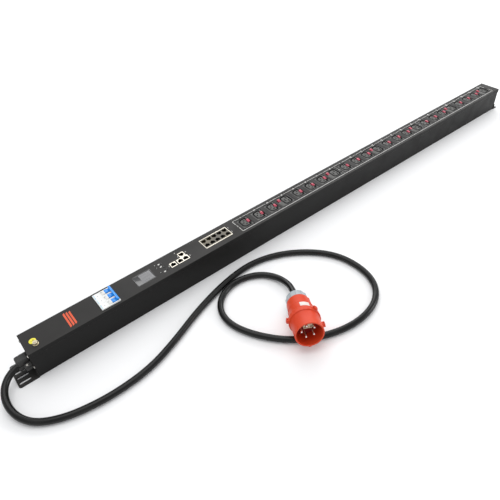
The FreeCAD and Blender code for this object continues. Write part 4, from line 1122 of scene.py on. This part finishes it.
# --- Printing round the outlets ---------------------------------------------------------------------
# White silk-screen on the cover: a bracket round each bank of eight outlets, broken on its far side by
# the outlets' numbers and at its ends, and three short ticks where each bank begins.
ink = 0.0001
line_width, far_width = 0.0011, 0.0008
near_line, far_line = -0.0249, 0.0215
end_gap = (-0.0072, 0.0066)
number_gap = (-0.0026, 0.0092)
before_first, after_last = 0.0237, 0.0192
figure_size, figure_bold, figure_middle = 0.0082, 0.00025, 0.0033


def stroke(low_x, high_x, low_y, high_y):
    """A printed line between two corners."""
    return block("stroke", (low_x, low_y, face_top - ink), (high_x, high_y, face_top + ink))


strokes = []
for bank in range(3):
    bank_sockets = sockets[8 * bank : 8 * bank + 8]
    start, end = bank_sockets[0] - before_first, bank_sockets[7] + after_last
    strokes.append(stroke(start, end, near_line, near_line + line_width))
    for left in (start, end - line_width):
        strokes.append(stroke(left, left + line_width, near_line, end_gap[0]))
        strokes.append(stroke(left, left + line_width, end_gap[1], far_line))
    run = start
    for socket in bank_sockets:
        strokes.append(stroke(run, socket + number_gap[0], far_line, far_line + far_width))
        run = socket + number_gap[1]
    strokes.append(stroke(run, end, far_line, far_line + far_width))
    for tick in range(3):
        low_y = -0.0038 + tick * 0.0026
        strokes.append(stroke(start - 0.0005, start + 0.0016, low_y, low_y + 0.0013))
for index, socket in enumerate(sockets, start=1):
    bpy.ops.object.select_all(action="DESELECT")
    bpy.ops.object.text_add(location=(0, 0, 0))
    figure = bpy.context.object
    figure.data.body = str(index)
    figure.data.size = figure_size
    figure.data.offset = figure_bold
    figure.data.extrude = ink
    figure.data.align_x = "CENTER"
    figure.data.align_y = "CENTER"
    bpy.ops.object.convert(target="MESH")
    figure = bpy.context.object
    turn = Matrix.Rotation(math.radians(90), 4, "Z")
    spot = (socket + figure_middle, far_line + 0.0003, face_top)
    figure.data.transform(Matrix.Translation(spot) @ turn)
    strokes.append(figure)
fit(welded("outlet_printing", strokes), print_white, "case_steel")

# --- Plug -------------------------------------------------------------------------------------------
# A five-pin industrial plug in red nylon. Its shroud has a flanged collar with lugs for the socket's
# bayonet ring, and screws to a tapered housing that a ribbed grey gland nut closes on the cord.
plug_mouth = Vector((case_start + 0.4685, -0.3539, 0.0542))
plug_lie = Matrix.Rotation(math.radians(60.5), 4, "Z") @ Matrix.Rotation(math.radians(102), 4, "Y")
plug_place = Matrix.Translation(plug_mouth) @ plug_lie
plug_red = finish_of(
    "plug_red",
    (0.64, 0.045, 0.01),
    0.4,
    (0.7, 0.1, 0.03),
    0.4,
    1300,
    0.00003,
    (0.75, 0.14, 0.06),
    Specular_IOR_Level=0.35,
)
gland_grey = finish_of(
    "gland_grey", (0.38, 0.42, 0.45), 0.42, (0.5, 0.53, 0.55), 0.5, 1200, 0.00003, (0.66, 0.69, 0.7)
)
insert_beige = finish_of("insert_beige", (0.62, 0.5, 0.36), 0.45, (0.45, 0.34, 0.22), 0.5, 1300, 0.00003)
insert_red = finish_of("insert_red", (0.28, 0.01, 0.012), 0.4, (0.4, 0.03, 0.02), 0.5, 1300, 0.00003)
pin_nickel = finish_of(
    "pin_nickel", (0.86, 0.85, 0.83), 0.2, (0.6, 0.58, 0.55), 0.4, 1500, 0.00001, Metallic=1
)
label_pale = finish_of("label_pale", (0.74, 0.7, 0.66), 0.5, (0.6, 0.5, 0.45), 0.5, 1600, 0.00001)


def at_plug(radius, angle, along):
    """A point in the plug's own frame, from its axis, round from straight down and back from the mouth."""
    turn = math.radians(angle)
    return Vector((radius * math.cos(turn), radius * math.sin(turn), along))


def round_turned(piece, angle):
    """Turns a piece about the plug's axis."""
    piece.data.transform(Matrix.Rotation(math.radians(angle), 4, "Z"))
    return piece


wall, mouth_radius, collar_radius = 0.003, 0.0315, 0.035
shroud_section = [
    (mouth_radius - wall, 0.0006),
    (mouth_radius - wall + 0.0006, 0),
    (mouth_radius - 0.0006, 0),
    (mouth_radius, 0.0008),
    (mouth_radius + 0.0004, 0.018),
    (mouth_radius + 0.001, 0.0395),
    (mouth_radius + 0.0018, 0.041),
    (collar_radius - 0.0006, 0.041),
    (collar_radius, 0.0418),
    (collar_radius, 0.0522),
    (collar_radius - 0.0008, 0.053),
    (0.012, 0.053),
    (0.012, 0.046),
    (mouth_radius - wall - 0.0006, 0.046),
]
shroud = soften(turned("plug_shroud_shell", shroud_section, 96))
keyway = block("keyway", (mouth_radius - 0.001, -0.0035, 0.0012), (mouth_radius + 0.0024, 0.0035, 0.041))
shroud_parts = [shroud, soften(keyway, 0.0006, 2)]
lug_half, lug_reach, lug_long, lug_hole = 0.0045, 0.007, 0.01, 0.0017
collar_lugs = (100, 220)
on_collar, on_shroud = (collar_radius - 0.002, 0.042), (mouth_radius - 0.001, 0.014)
for angle, (root, start) in ((collar_lugs[0], on_collar), (collar_lugs[1], on_collar), (262, on_shroud)):
    lug = block("lug", (root, -lug_half, start), (root + lug_reach, lug_half, start + lug_long))
    x, z = root + 0.0045, start + lug_long / 2
    carve(lug, rod("lug_hole", lug_hole, (x, -0.01, z), (x, 0.01, z), 20))
    shroud_parts.append(round_turned(soften(lug, 0.0012, 3), angle))
for turn in range(0, 360, 15):
    if min(abs(turn - lug_at) for lug_at in collar_lugs) > 12:
        low = (collar_radius - 0.001, -0.0008, 0.0432)
        grip = block("grip", low, (collar_radius + 0.0004, 0.0008, 0.0508))
        shroud_parts.append(round_turned(soften(grip, 0.0003, 1), turn))
shroud = welded("plug_shroud_shell", shroud_parts)
shroud.data.transform(plug_place)
fit(shroud, plug_red, "plug_red", "plug_shroud")

housing_section = [
    (0.012, 0.0532),
    (0.0326, 0.0532),
    (0.033, 0.0538),
    (0.0322, 0.0562),
    (0.0292, 0.0588),
    (0.0285, 0.0605),
    (0.0281, 0.078),
    (0.0287, 0.0788),
    (0.0287, 0.0808),
    (0.028, 0.0816),
    (0.0268, 0.104),
    (0.0262, 0.1072),
    (0.0255, 0.108),
    (0.012, 0.108),
]
housing_parts = [soften(turned("plug_housing_shell", housing_section, 96))]
for angle in (0, 60, 120, 240, 300):
    flute = block("flute", (0.0262, -0.0014, 0.083), (0.0281, 0.0014, 0.1035))
    housing_parts.append(round_turned(soften(flute, 0.0006, 2), angle))
housing = welded("plug_housing_shell", housing_parts)
housing.data.transform(plug_place)
fit(housing, plug_red, "plug_red", "plug_housing")

# The rating label: a blank pale panel that follows the housing's curve.
label_section = [(0.0277, 0.0628), (0.0287, 0.0628), (0.02845, 0.0756), (0.0275, 0.0756)]
bpy.ops.object.select_all(action="DESELECT")
bpy.ops.mesh.primitive_circle_add(vertices=4, fill_type="NGON")
label = bpy.context.object
label.name = "plug_label"
for vertex, (radius, along) in zip(label.data.vertices, label_section):
    vertex.co = at_plug(radius, 172, along)
bpy.ops.object.mode_set(mode="EDIT")
bpy.ops.mesh.select_all(action="SELECT")
bpy.ops.mesh.spin(steps=14, angle=math.radians(-44), center=(0, 0, 0), axis=(0, 0, 1))
bpy.ops.mesh.select_all(action="SELECT")
bpy.ops.mesh.normals_make_consistent(inside=False)
bpy.ops.object.mode_set(mode="OBJECT")
label.data.transform(plug_place)
fit(soften(label), label_pale, "plug_red")

gland_section = [
    (0.0078, 0.1084),
    (0.0222, 0.1084),
    (0.0232, 0.1094),
    (0.0232, 0.1255),
    (0.0222, 0.129),
    (0.0165, 0.1335),
    (0.0145, 0.135),
    (0.0078, 0.135),
]
gland_parts = [soften(turned("gland_nut_shell", gland_section, 72))]
for rib in range(12):
    grip = block("grip", (0.0215, -0.0028, 0.1088), (0.0249, 0.0028, 0.1255))
    gland_parts.append(round_turned(soften(grip, 0.0011, 2), 30 * rib))
gland = welded("gland_nut_shell", gland_parts)
gland.data.transform(plug_place)
fit(gland, gland_grey, "gland_grey", "gland_nut")

# The insert: a dark red floor that carries the pins, and a beige block with square test holes above.
insert_radius, floor_from, floor_to = 0.0283, 0.038, 0.046
floor_section = [(0, floor_from), (insert_radius, floor_from), (insert_radius, floor_to), (0, floor_to)]
insert_floor = soften(turned("insert_floor", floor_section, 72))
insert_floor.data.transform(plug_place)
fit(insert_floor, insert_red, "insert_beige", "plug_insert")
beige = block("insert_block", (-0.0185, -0.0095, 0.0165), (-0.0035, 0.0095, floor_from + 0.0005))
hole_half = 0.0018
for across in (-0.0062, 0, 0.0062):
    for up in (-0.0155, -0.0068):
        low = (up - hole_half, across - hole_half, 0.01)
        carve(beige, block("test_hole", low, (up + hole_half, across + hole_half, 0.024)))
soften(beige, 0.0006, 2)
beige.data.transform(plug_place)
fit(beige, insert_beige, "insert_beige")

pin_circle, pin_radius = 0.015, 0.003
pin_section = [(0, 0.009), (0.0012, 0.0092), (0.0023, 0.0101), (pin_radius, 0.0122)]
pin_section += [(pin_radius, floor_to), (0, floor_to)]
pins = []
for pin in range(5):
    spot = at_plug(pin_circle, 22 + 72 * pin, 0)
    one = turned("pin", pin_section, 28)
    one.data.transform(Matrix.Translation((spot.x, spot.y, 0)))
    pins.append(soften(one))
pins = welded("plug_contact_pins", pins)
pins.data.transform(plug_place)
fit(pins, pin_nickel, "pin_nickel", "plug_pins")
